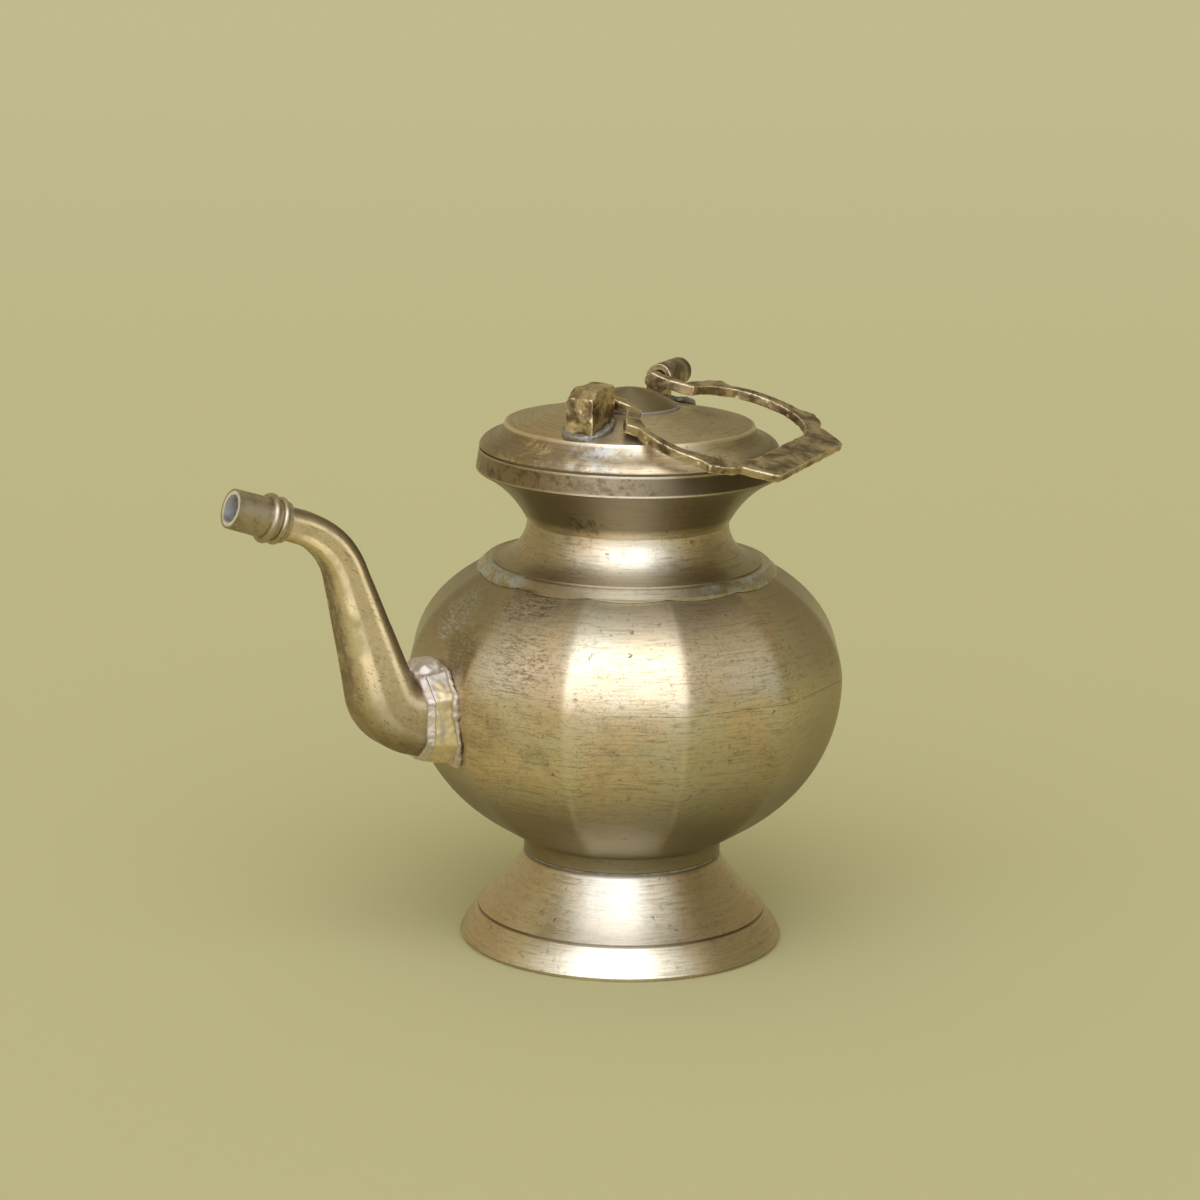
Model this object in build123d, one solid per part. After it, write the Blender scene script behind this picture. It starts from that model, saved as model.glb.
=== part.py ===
from build123d import *
import os
from math import asin, atan, cos, degrees, pi, radians, sin, sqrt

os.makedirs("parts", exist_ok=True)

# All sizes are in millimetres and all angles in degrees.
# The pot stands on the floor at the origin, its axis is +Z, and its spout points along -X.

# Foot: a flared hollow pedestal
FOOT_RADIUS = 42.0
FOOT_HEIGHT = 23.2
FOOT_TOP_RADIUS = 25.4
FOOT_SHOULDER_RADIUS = 37.6
FOOT_SHOULDER_HEIGHT = 8.2
FOOT_EDGE = 1.2
FOOT_WALL = 3.2
FOOT_FLARE_SAG = 0.9
FOOT_RIM_SWELL = 0.35
GROOVE_WIDTH = 0.9
GROOVE_DEPTH = 0.6

# Solder and braze
SOLDER_GAP = 0.6
BRAZE_GAP = 0.4
SOLDER_PROUD = 1.2
NECK_SOLDER_WIDTH = 4.0
NECK_SOLDER_EDGE = 0.3
NECK_SOLDER_SEAT = 0.1

# Globe: two halves with flat-sided facets, each facet curved from top to bottom
FACETS = 12
BOWL_RADIUS = 55.5
BASE_RING_RADIUS = 25.6
BASE_RING_HEIGHT = 4.0
FACET_OVERHANG = 0.4
BOWL_LOWER_HEIGHT = 44.2
BOWL_UPPER_HEIGHT = 28.2
SHOULDER_RADIUS = 34.0
SEAM_RISE = 1.2
BOWL_WALL = 2.2
BOWL_FLOOR = 3.4

# Neck: skirt, waist, flare and rim, turned in one piece
SKIRT_RADIUS = 34.6
SKIRT_EDGE = 0.8
SKIRT_WALL = 3.4
WAIST_RADIUS = 25.9
WAIST_RISE = 10.8
COVE_SAG = 2.4
FLARE_HEIGHT = 12.9
FLARE_SAG = 1.5
RIM_RADIUS = 39.2
RIM_TOP_RADIUS = 38.4
RIM_HEIGHT = 5.7
RIM_EDGE = 0.5
BORE_RADIUS = 23.4

# Screw thread between lid and neck
THREAD_PITCH = 3.0
THREAD_DEPTH = 1.0
THREAD_ROOT = 1.7
THREAD_CREST = 0.7
THREAD_TURNS = 2.5
THREAD_CLEARANCE = 0.25
THREAD_SINK = 0.3
THREAD_START_DEPTH = 12.0

# Lid: a threaded plug, an ogee edge, a shallow cone plate and a dome
WASHER_THICKNESS = 0.6
WASHER_INSET = 0.8
LID_RADIUS = 38.4
LID_EDGE = 0.3
OGEE_HEIGHT = 6.1
OGEE_TURN_RADIUS = 35.2
OGEE_TURN_RISE = 2.6
OGEE_SAG = 0.55
PLATE_RADIUS = 31.9
PLATE_RISE = 4.3
PLUG_WALL = 2.2
PLUG_LENGTH = 15.0
CEILING_DROP = 0.9
DOME_RADIUS = 12.4
DOME_HEIGHT = 4.7
DOME_WALL = 1.5
DOME_SOLDER = 0.5

# Bail: two lugs of unequal height on the lid, so the hinge line tips a little
BAIL_ANGLE = 34.0
LUG_REACH = 23.0
LUG_LENGTH = 13.0
LUG_WIDTH = 7.8
LUG_BLIND_WALL = 2.0
FRONT_EYE_HEIGHT = 5.1
FRONT_LUG_HEIGHT = 10.9
REAR_EYE_HEIGHT = 7.2
STRAP_THICKNESS = 1.5
STRAP_SLIT = 0.8
LUG_SOLDER_MARGIN = 1.8
LUG_SOLDER_HEIGHT = 1.2
LUG_SOLDER_CORNER = 1.7
PIN_RADIUS = 2.0
PIN_CLEARANCE = 0.1
PIN_LENGTH = 8.4

# Handle plan, across and out from the hinge line, for one half of the loop
HANDLE_DROOP = 16.5
HANDLE_TOP = 2.2
ARM_THICKNESS = 3.0
GRIP_THICKNESS = 2.2
ARM_EYE_RADIUS = 2.4
ARM_WIDTH = 3.4
ARM_SIDE_GAP = 0.5
ARM_END = 2.6
ARM_STRAIGHT = 7.5
ARM_INNER_STRAIGHT = 4.4
KNOB_ACROSS = 28.6
KNOB_REACH = 12.6
LOOP_ACROSS = 31.7
LOOP_REACH = 25.0
LOOP_INNER_ACROSS = 28.3
LOOP_FOOT_ACROSS = 15.5
LOOP_FOOT_REACH = 10.8
CUSP_ACROSS = 32.0
CUSP_REACH = 38.2
GRIP_LENGTH = 41.0
GRIP_REACH = 52.2
GRIP_WIDTH = 9.4
GRIP_WAIST_ACROSS = 24.6
GRIP_WAIST_REACH = 43.4
GRIP_INNER_HALF = 14.5
GRIP_CORNER = 1.6

# Spout route, out from the globe and up from the spout's root
SPOUT_DROP = 5.6
SPOUT_SINK = 3.0
SPOUT_ELBOW_REACH = 13.1
SPOUT_CROOK_REACH = 28.1
SPOUT_CROOK_RISE = 47.8
SPOUT_END_REACH = 41.8
SPOUT_END_RISE = 52.4
SPOUT_ELBOW_RADIUS = 10.2
SPOUT_CROOK_RADIUS = 20.0
SPOUT_ROOT_WIDTH = 19.6
SPOUT_END_WIDTH = 8.2
SPOUT_TAPER_START = 0.12
SPOUT_TAPER_CURVE = 1.5
SPOUT_CHAMFER = 0.24
SPOUT_WALL = 1.5
SPOUT_HOLE_RADIUS = 4.5
SPOUT_STATIONS = 20
SPOUT_COLLAR_WIDTH = 23.8
SPOUT_COLLAR_END_WIDTH = 22.0
SPOUT_COLLAR_LENGTH = 5.4
SPOUT_SOLDER_WIDTH = 0.9
SPOUT_BEAD_LENGTH = 1.6
SPOUT_BEAD_EDGE = 0.4
SPOUT_LUMP_SIZE = (5.0, 5.5, 4.2)
SPOUT_LUMP_REACH = 3.6

# Nozzle, turned along its own axis
NOZZLE_LENGTH = 14.8
NOZZLE_ROOT_RADIUS = 5.2
NOZZLE_TIP_RADIUS = 4.95
NOZZLE_BORE_RADIUS = 3.6
NOZZLE_BORE_LENGTH = 12.4
RING_RADIUS = 6.3
RING_WIDTH = 2.0
RING_SINK = 0.1
RING_STATION = 4.8
FERRULE_RADIUS = 6.0
FERRULE_WIDTH = 1.9
FERRULE_STATION = 2.0

# Heights that follow from the sizes above
BASE_Z = FOOT_HEIGHT + SOLDER_GAP
WIDEST_Z = BASE_Z + BASE_RING_HEIGHT + BOWL_LOWER_HEIGHT
SHOULDER_Z = WIDEST_Z + BOWL_UPPER_HEIGHT
SEAM_Z = WIDEST_Z + SEAM_RISE
WAIST_Z = SHOULDER_Z + WAIST_RISE
RIM_Z = WAIST_Z + FLARE_HEIGHT
RIM_TOP_Z = RIM_Z + RIM_HEIGHT
SEAT_Z = RIM_TOP_Z + WASHER_THICKNESS
PLATE_Z = SEAT_Z + OGEE_HEIGHT
PLUG_Z = SEAT_Z - PLUG_LENGTH
PLUG_RADIUS = BORE_RADIUS - THREAD_CLEARANCE
SPOUT_ROOT_Z = WIDEST_Z - SPOUT_DROP

# Half heights of the ovals that shape the globe
FACET_FOOT_RADIUS = BASE_RING_RADIUS + FACET_OVERHANG
LOWER_OVAL = BOWL_LOWER_HEIGHT / sqrt(1 - (FACET_FOOT_RADIUS / BOWL_RADIUS) ** 2)
UPPER_OVAL = BOWL_UPPER_HEIGHT / sqrt(1 - (SHOULDER_RADIUS / BOWL_RADIUS) ** 2)


def plate_height(radius):
    """Height of the lid's top at a radius from the axis: a cone, flat under the dome."""
    share = (PLATE_RADIUS - max(radius, DOME_RADIUS)) / (PLATE_RADIUS - DOME_RADIUS)
    return PLATE_Z + PLATE_RISE * share


# Hinge line of the bail, in the bail's own frame: X along the line, -Y out along the folded handle
LUG_FLOOR_Z = plate_height(LUG_REACH)
FRONT_EYE_Z = LUG_FLOOR_Z + FRONT_EYE_HEIGHT
REAR_EYE_Z = LUG_FLOOR_Z + REAR_EYE_HEIGHT
HINGE_Z = (FRONT_EYE_Z + REAR_EYE_Z) / 2
HINGE_TILT = degrees(atan((REAR_EYE_Z - FRONT_EYE_Z) / (2 * LUG_REACH)))
EYE_RADIUS = PIN_RADIUS + PIN_CLEARANCE
BAIL_TURN = Rot(0, 0, BAIL_ANGLE)


def middle(a, b, sag):
    """Point halfway from a to b, moved by sag to the left of the way from a to b."""
    across, up = b[0] - a[0], b[1] - a[1]
    length = sqrt(across**2 + up**2)
    return ((a[0] + b[0]) / 2 - up / length * sag, (a[1] + b[1]) / 2 + across / length * sag)


def bowed(a, b, sag):
    """Shallow arc from a to b that bulges by sag to the left."""
    return ThreePointArc(a, middle(a, b, sag), b)


def turned(outline):
    """Solid of revolution from a closed outline of radius and height."""
    return revolve(Plane.XZ * make_face(outline.edges()), Axis.Z)


def oval_face(radius, lower, upper):
    """Upright oval about the globe's widest height, with its own half height below and above."""
    top = EllipticalCenterArc((0, WIDEST_Z), radius, upper, 0, arc_size=180)
    bottom = EllipticalCenterArc((0, WIDEST_Z), radius, lower, 180, arc_size=180)
    return make_face([top.edge(), bottom.edge()])


def level_slice(low, high):
    """Wide level slab between two heights."""
    size = 6 * BOWL_RADIUS
    return Pos(0, 0, (low + high) / 2) * Box(size, size, high - low)


def facet_slab(growth=0.0):
    """Run of the oval across two opposite facets, grown outwards, between base and shoulder."""
    face = oval_face(BOWL_RADIUS + growth, LOWER_OVAL + growth, UPPER_OVAL + growth)
    height = SHOULDER_Z - BASE_Z
    face &= Pos(0, BASE_Z + height / 2) * Rectangle(4 * BOWL_RADIUS, height)
    return extrude(Plane.XZ * face, amount=1.5 * BOWL_RADIUS, both=True)


def globe_envelope(growth=0.0):
    """Faceted globe as a full solid: the runs across each two opposite facets, cut by each other."""
    solid = facet_slab(growth)
    for index in range(1, FACETS // 2):
        solid &= Rot(0, 0, index * 360 / FACETS) * facet_slab(growth)
    return solid


def inside_point(z):
    """Point of the globe's inside wall at a height, as radius and height."""
    half_height = UPPER_OVAL - BOWL_WALL if z > WIDEST_Z else LOWER_OVAL - BOWL_FLOOR
    return ((BOWL_RADIUS - BOWL_WALL) * sqrt(1 - ((z - WIDEST_Z) / half_height) ** 2), z)


def globe_cavity():
    """Round inside of the globe, with a flat floor and an open top."""
    floor_z = BASE_Z + BOWL_FLOOR
    floor = inside_point(floor_z)
    widest = inside_point(WIDEST_Z)
    shoulder = inside_point(SHOULDER_Z)
    outline = Polyline((shoulder[0], RIM_Z), (0, RIM_Z), (0, floor_z), floor)
    outline += ThreePointArc(floor, inside_point((floor_z + WIDEST_Z) / 2), widest)
    outline += ThreePointArc(widest, inside_point((WIDEST_Z + SHOULDER_Z) / 2), shoulder)
    outline += Line(shoulder, (shoulder[0], RIM_Z))
    return turned(outline)


def foot_pedestal():
    """Flared foot, hollow from below, with an incised line above its rim."""
    rim_low = (FOOT_RADIUS, FOOT_EDGE)
    rim_high = (FOOT_SHOULDER_RADIUS, FOOT_SHOULDER_HEIGHT - GROOVE_WIDTH / 2)
    groove = (FOOT_SHOULDER_RADIUS - GROOVE_DEPTH, FOOT_SHOULDER_HEIGHT)
    cone_low = (FOOT_SHOULDER_RADIUS - GROOVE_WIDTH / 4, FOOT_SHOULDER_HEIGHT + GROOVE_WIDTH / 2)
    top = (FOOT_TOP_RADIUS, FOOT_HEIGHT)
    top_in = (FOOT_TOP_RADIUS - FOOT_WALL, FOOT_HEIGHT)
    shoulder_in = (FOOT_SHOULDER_RADIUS - FOOT_WALL, FOOT_SHOULDER_HEIGHT)
    floor_in = (FOOT_RADIUS - FOOT_EDGE - FOOT_WALL, 0)
    floor_out = (FOOT_RADIUS - FOOT_EDGE, 0)
    outline = Line(floor_out, rim_low) + bowed(rim_low, rim_high, -FOOT_RIM_SWELL)
    outline += Polyline(rim_high, groove, cone_low)
    outline += bowed(cone_low, top, FOOT_FLARE_SAG)
    outline += Line(top, top_in)
    outline += bowed(top_in, shoulder_in, -FOOT_FLARE_SAG)
    outline += Polyline(shoulder_in, floor_in, floor_out)
    return turned(outline)


def foot_solder_seam():
    """Thin ring of solder that joins the foot to the bowl."""
    ring = Cylinder(FOOT_TOP_RADIUS, SOLDER_GAP) - Cylinder(FOOT_TOP_RADIUS - FOOT_WALL, SOLDER_GAP)
    return Pos(0, 0, FOOT_HEIGHT + SOLDER_GAP / 2) * ring


def spout_point(reach, rise=0.0):
    """Point of the spout's middle plane, out from the globe and up from the spout's root."""
    return Vector(-(BOWL_RADIUS + reach), 0, SPOUT_ROOT_Z + rise)


def spout_route():
    """Middle line of the spout: three straight runs joined by two arcs."""
    start = spout_point(-SPOUT_SINK)
    elbow = spout_point(SPOUT_ELBOW_REACH)
    crook = spout_point(SPOUT_CROOK_REACH, SPOUT_CROOK_RISE)
    end = spout_point(SPOUT_END_REACH, SPOUT_END_RISE)
    return FilletPolyline(start, elbow, crook, end, radius=[SPOUT_ELBOW_RADIUS, SPOUT_CROOK_RADIUS])


def spout_width(share):
    """Width of the spout at a share of its length."""
    left = min(1.0, (1 - share) / (1 - SPOUT_TAPER_START))
    return SPOUT_END_WIDTH + (SPOUT_ROOT_WIDTH - SPOUT_END_WIDTH) * left**SPOUT_TAPER_CURVE


def chamfered_square(width):
    """Square with cut corners: the cross-section of the spout and its collar."""
    return chamfer(Rectangle(width, width).vertices(), SPOUT_CHAMFER * width)


def spout_plane(route, share):
    """Plane square to the spout at a share of its length."""
    return Plane(origin=route @ share, x_dir=(0, 1, 0), z_dir=route % share)


def spout_solids():
    """Flat-sided outside of the spout and its round inside, both as full solids."""
    route = spout_route()
    outside, inside = [], []
    for index in range(SPOUT_STATIONS):
        share = index / (SPOUT_STATIONS - 1)
        plane = spout_plane(route, share)
        width = spout_width(share)
        outside.append(plane * chamfered_square(width))
        inside.append(plane * Circle(width / 2 - SPOUT_WALL))
    return loft(outside), loft(inside)


def root_plane(reach):
    """Upright plane across the spout's root, facing outwards."""
    return Plane(origin=spout_point(reach), x_dir=(0, 1, 0), z_dir=(-1, 0, 0))


def spout_hole():
    """Round hole through the globe's wall into the spout."""
    return extrude(root_plane(-4 * BOWL_WALL) * Circle(SPOUT_HOLE_RADIUS), amount=8 * BOWL_WALL)


def flat_sided_block(near, near_width, far, far_width):
    """Full block about the spout's root between two distances from the globe."""
    ends = [root_plane(near) * chamfered_square(near_width), root_plane(far) * chamfered_square(far_width)]
    return loft(ends)


def collar_block():
    """Full block of the collar, reaching from inside the globe to its outer end."""
    slope = (SPOUT_COLLAR_WIDTH - SPOUT_COLLAR_END_WIDTH) / SPOUT_COLLAR_LENGTH
    depth = 2 * BOWL_WALL
    inner_width = SPOUT_COLLAR_WIDTH + slope * depth
    return flat_sided_block(-depth, inner_width, SPOUT_COLLAR_LENGTH, SPOUT_COLLAR_END_WIDTH)


def spout_root_solder(globe, collar, tube):
    """Band of solder on the globe round the collar, with a lump on top."""
    width = SPOUT_COLLAR_WIDTH + 2 * SPOUT_SOLDER_WIDTH
    post = flat_sided_block(-4 * BOWL_WALL, width, 4 * BOWL_WALL, width)
    top = spout_point(SPOUT_LUMP_REACH, SPOUT_COLLAR_WIDTH / 2)
    lump = Pos(*top) * scale(Sphere(1), by=SPOUT_LUMP_SIZE)
    return (post & facet_slab(SOLDER_PROUD)) + lump - globe - collar - tube


def spout_neck_solder(tube, lump):
    """Bead of solder between the collar's end and the spout."""
    far = SPOUT_COLLAR_LENGTH + SPOUT_BEAD_LENGTH
    far_width = SPOUT_ROOT_WIDTH + 2 * SPOUT_BEAD_EDGE
    bead = flat_sided_block(SPOUT_COLLAR_LENGTH, SPOUT_COLLAR_END_WIDTH, far, far_width)
    return bead - tube - lump


def nozzle_plane():
    """Plane at the spout's end, square to the nozzle's axis."""
    return spout_plane(spout_route(), 1)


def raised_ring(inner, outer, width, station):
    """Half-round ring about the nozzle's axis."""
    low, high = station - width / 2, station + width / 2
    outline = Line((inner, high), (inner, low)) + ThreePointArc((inner, low), (outer, station), (inner, high))
    return nozzle_plane() * turned(outline)


def spout_nozzle():
    """Straight nozzle with its bore and one raised ring."""
    bore_low = NOZZLE_LENGTH - NOZZLE_BORE_LENGTH
    end_bore = SPOUT_END_WIDTH / 2 - SPOUT_WALL
    outline = Polyline(
        (end_bore, 0),
        (NOZZLE_ROOT_RADIUS, 0),
        (NOZZLE_TIP_RADIUS, NOZZLE_LENGTH),
        (NOZZLE_BORE_RADIUS, NOZZLE_LENGTH),
        (NOZZLE_BORE_RADIUS, bore_low),
        (end_bore, bore_low),
        close=True,
    )
    barrel = nozzle_plane() * turned(outline)
    return barrel + raised_ring(NOZZLE_TIP_RADIUS - RING_SINK, RING_RADIUS, RING_WIDTH, RING_STATION)


def neck_blank():
    """Waisted neck with its skirt, flare and banded rim, bored through."""
    skirt_low = (SKIRT_RADIUS, SHOULDER_Z)
    skirt_high = (SKIRT_RADIUS, SHOULDER_Z + SKIRT_EDGE)
    waist = (WAIST_RADIUS, WAIST_Z)
    rim_under = (RIM_RADIUS - RIM_EDGE, RIM_Z)
    rim_low = (RIM_RADIUS, RIM_Z + RIM_EDGE)
    rim_high = (RIM_TOP_RADIUS, RIM_TOP_Z)
    bore_high = (BORE_RADIUS, RIM_TOP_Z)
    bore_low = (BORE_RADIUS, WAIST_Z)
    foot_in = (SKIRT_RADIUS - SKIRT_WALL, SHOULDER_Z)
    outline = Line(skirt_low, skirt_high) + bowed(skirt_high, waist, COVE_SAG)
    outline += bowed(waist, rim_under, FLARE_SAG)
    outline += Polyline(rim_under, rim_low, rim_high, bore_high, bore_low)
    outline += bowed(bore_low, foot_in, -COVE_SAG)
    outline += Line(foot_in, skirt_low)
    return turned(outline)


def thread_ridge(growth, low_turns, turns):
    """Helical ridge on the lid's plug, or with growth the groove that it runs in."""
    start = RIM_TOP_Z - THREAD_START_DEPTH - low_turns * THREAD_PITCH
    path = Pos(0, 0, start) * Helix(THREAD_PITCH, turns * THREAD_PITCH, PLUG_RADIUS)
    root = THREAD_ROOT / 2 + growth
    crest = THREAD_CREST / 2 + growth
    depth = THREAD_DEPTH + growth
    corners = [(-THREAD_SINK, -root), (depth, -crest), (depth, crest), (-THREAD_SINK, root)]
    section = Polygon(*corners, align=None)
    plane = Plane(origin=path @ 0, x_dir=(1, 0, 0), z_dir=path % 0)
    return sweep(plane * section, path=path, is_frenet=True)


def neck_collar():
    """Neck with the thread groove cut into its bore."""
    exit_turns = (THREAD_START_DEPTH + THREAD_ROOT) / THREAD_PITCH
    return neck_blank() - thread_ridge(THREAD_CLEARANCE, 1, 1 + exit_turns)


def shoulder_height(radius):
    """Height of the upper globe's facet edges at a radius from the axis."""
    share = radius * cos(pi / FACETS) / BOWL_RADIUS
    return WIDEST_Z + UPPER_OVAL * sqrt(1 - share**2)


def neck_solder_seam(neck):
    """Uneven solder band round the skirt, lying over the shoulder's edge."""
    inner = SHOULDER_RADIUS - NECK_SOLDER_EDGE
    outer = SKIRT_RADIUS + NECK_SOLDER_WIDTH
    low = SHOULDER_Z - 2 * NECK_SOLDER_WIDTH
    high = SHOULDER_Z + SKIRT_EDGE / 2
    outline = Polyline(
        (inner, low),
        (outer, low),
        (outer, shoulder_height(outer) + NECK_SOLDER_EDGE),
        (SKIRT_RADIUS + NECK_SOLDER_WIDTH / 2, high),
        (inner, high),
        close=True,
    )
    return turned(outline) - globe_envelope(NECK_SOLDER_SEAT) - neck


def lid_cap():
    """Lid with its threaded plug, ogee edge and shallow cone plate."""
    turn = (OGEE_TURN_RADIUS, SEAT_Z + OGEE_TURN_RISE)
    edge = (LID_RADIUS, SEAT_Z + LID_EDGE)
    plate = (PLATE_RADIUS, PLATE_Z)
    crown = (DOME_RADIUS, plate_height(DOME_RADIUS))
    ceiling = PLATE_Z - CEILING_DROP
    plug_in = PLUG_RADIUS - PLUG_WALL
    outline = Polyline((PLUG_RADIUS, PLUG_Z), (PLUG_RADIUS, SEAT_Z), (LID_RADIUS, SEAT_Z), edge)
    outline += bowed(edge, turn, -OGEE_SAG)
    outline += bowed(turn, plate, OGEE_SAG)
    outline += Polyline(
        plate,
        crown,
        (0, crown[1]),
        (0, ceiling),
        (plug_in, ceiling),
        (plug_in, PLUG_Z),
        (PLUG_RADIUS, PLUG_Z),
    )
    return turned(outline) + thread_ridge(0, 0, THREAD_TURNS)


def lid_washer():
    """Thin flat washer between the lid's seat and the rim."""
    inner = BORE_RADIUS + THREAD_DEPTH + 2 * THREAD_CLEARANCE
    ring = Cylinder(RIM_TOP_RADIUS - WASHER_INSET, WASHER_THICKNESS) - Cylinder(inner, WASHER_THICKNESS)
    return Pos(0, 0, RIM_TOP_Z + WASHER_THICKNESS / 2) * ring


def dome_outline(shrink):
    """Half outline of the dome, standing on the cone plate."""
    radius = DOME_RADIUS - shrink
    foot = (radius, plate_height(radius))
    top = (0, plate_height(DOME_RADIUS) + DOME_HEIGHT - shrink)
    rise = top[1] - foot[1]
    sphere = (radius**2 + rise**2) / (2 * rise)
    half_angle = asin(radius / sphere) / 2
    shoulder = (sphere * sin(half_angle), top[1] - sphere * (1 - cos(half_angle)))
    outline = ThreePointArc(foot, shoulder, top)
    return outline + Polyline(top, (0, plate_height(0)), foot)


def lid_dome():
    """Low raised dome on the middle of the lid."""
    return turned(dome_outline(0)) - turned(dome_outline(DOME_WALL))


def dome_solder_seam(lid):
    """Fine bead of solder round the dome's foot."""
    bead = Pos(DOME_RADIUS, plate_height(DOME_RADIUS)) * Circle(DOME_SOLDER)
    return revolve(Plane.XZ * bead, Axis.Z) - turned(dome_outline(0)) - lid


def lug_plane(reach):
    """Plane across a lug in the bail's frame, X out of the handle's way and Y up."""
    return Plane(origin=(reach, 0, 0), x_dir=(0, 1, 0), z_dir=(1, 0, 0))


def lug_prism(face, reach, length=LUG_LENGTH):
    """Lug of a given cross-section, centred on its reach along the hinge line."""
    return extrude(lug_plane(reach) * face, amount=length / 2, both=True)


def hinge_plane():
    """Plane square to the hinge line, at its middle."""
    tilt = radians(HINGE_TILT)
    return Plane(origin=(0, 0, HINGE_Z), x_dir=(0, 1, 0), z_dir=(cos(tilt), 0, sin(tilt)))


def eye_bore(low, high):
    """Round passage along the hinge line between two stations."""
    return extrude(hinge_plane().offset(low) * Circle(EYE_RADIUS), amount=high - low)


def front_lug(lid):
    """Chunky lug with a round top, its eye blind at the outer end."""
    top = LUG_FLOOR_Z + FRONT_LUG_HEIGHT
    shoulder = top - LUG_WIDTH / 2
    face = Pos(0, (shoulder + PLATE_Z) / 2) * Rectangle(LUG_WIDTH, shoulder - PLATE_Z)
    face += Pos(0, shoulder) * Circle(LUG_WIDTH / 2)
    block = lug_prism(face, -LUG_REACH)
    outer_end = LUG_REACH + LUG_LENGTH / 2 - LUG_BLIND_WALL
    return BAIL_TURN * (block - eye_bore(-outer_end, 0)) - lid


def rear_lug(lid):
    """Strap lug: an upright leg curled over into an open eye."""
    outer = EYE_RADIUS + STRAP_THICKNESS
    leg_middle = (outer - STRAP_THICKNESS / 2, (REAR_EYE_Z + PLATE_Z) / 2)
    leg = Pos(*leg_middle) * Rectangle(STRAP_THICKNESS, REAR_EYE_Z - PLATE_Z)
    curl = Pos(0, REAR_EYE_Z) * Circle(outer)
    slit = Pos(EYE_RADIUS - STRAP_SLIT / 2, REAR_EYE_Z - outer) * Rectangle(STRAP_SLIT, 2 * outer)
    strap = lug_prism(curl + leg, LUG_REACH) - eye_bore(0, 2 * LUG_REACH)
    return BAIL_TURN * (strap - lug_prism(slit, LUG_REACH)) - lid


def lug_solder(side, lug):
    """Pad of solder round a lug's foot, lying on the plate and clear of the handle's arm."""
    length = LUG_LENGTH + LUG_SOLDER_MARGIN
    width = LUG_WIDTH + 2 * LUG_SOLDER_MARGIN
    pad = RectangleRounded(length, width, LUG_SOLDER_CORNER)
    place = Pos(side * (LUG_REACH + LUG_SOLDER_MARGIN / 2), 0)
    column = BAIL_TURN * extrude(place * pad, amount=2 * PLATE_Z)
    crown_z = plate_height(DOME_RADIUS)
    layer = Polyline(
        (DOME_RADIUS, crown_z),
        (PLATE_RADIUS, PLATE_Z),
        (PLATE_RADIUS, PLATE_Z + LUG_SOLDER_HEIGHT),
        (DOME_RADIUS, crown_z + LUG_SOLDER_HEIGHT),
        close=True,
    )
    return (column & turned(layer)) - lug


def handle_half_plan():
    """Outline of one half of the handle, across the hinge line and out along the handle."""
    arm_out = LUG_REACH - LUG_LENGTH / 2 - ARM_SIDE_GAP
    arm_in = arm_out - ARM_WIDTH
    grip_half = GRIP_LENGTH / 2
    grip_in = GRIP_REACH - GRIP_WIDTH
    knob = (KNOB_ACROSS, KNOB_REACH)
    notch = (KNOB_ACROSS - GRIP_CORNER / 2, KNOB_REACH + 2 * GRIP_CORNER)
    shoulder = (LOOP_ACROSS - GRIP_CORNER / 3, CUSP_REACH - 2 * GRIP_CORNER)
    cusp = (CUSP_ACROSS, CUSP_REACH)
    cusp_end = (CUSP_ACROSS - GRIP_CORNER, CUSP_REACH + GRIP_CORNER)
    waist = (GRIP_WAIST_ACROSS, GRIP_WAIST_REACH)
    loop_foot = (LOOP_FOOT_ACROSS, LOOP_FOOT_REACH)
    loop_head = (GRIP_INNER_HALF, grip_in)
    outline = Polyline((arm_in, -ARM_END), (arm_out, -ARM_END), (arm_out, ARM_STRAIGHT))
    outline += bowed((arm_out, ARM_STRAIGHT), knob, -GRIP_CORNER / 2)
    outline += Line(knob, notch)
    outline += ThreePointArc(notch, (LOOP_ACROSS, LOOP_REACH), shoulder)
    outline += Polyline(shoulder, cusp, cusp_end)
    outline += bowed(cusp_end, waist, -GRIP_CORNER / 2)
    outline += Polyline(
        waist,
        (grip_half + GRIP_CORNER / 2, GRIP_REACH - GRIP_CORNER),
        (grip_half - GRIP_CORNER / 2, GRIP_REACH),
        (0, GRIP_REACH),
        (0, grip_in),
        loop_head,
    )
    outline += ThreePointArc(loop_head, (LOOP_INNER_ACROSS, (LOOP_FOOT_REACH + grip_in) / 2), loop_foot)
    outline += Polyline(loop_foot, (arm_in, ARM_INNER_STRAIGHT), (arm_in, -ARM_END))
    return make_face(outline.edges())


def handle_frame():
    """Frame of the folded handle: X along the hinge line, Y out along the handle, Z off its upper face."""
    return Pos(0, 0, HINGE_Z) * Rot(0, -HINGE_TILT, 0) * Rot(HANDLE_DROOP, 0, 0) * Rot(0, 0, 180)


def handle_profile():
    """Side view of the handle: flat on top, thinner towards the grip, round at the hinge line."""
    bar = make_face(
        Polyline(
            (0, HANDLE_TOP),
            (0, HANDLE_TOP - ARM_THICKNESS),
            (2 * GRIP_REACH, HANDLE_TOP - 2 * GRIP_THICKNESS + ARM_THICKNESS),
            (2 * GRIP_REACH, HANDLE_TOP),
            close=True,
        ).edges()
    )
    return bar + Circle(ARM_EYE_RADIUS)


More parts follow.
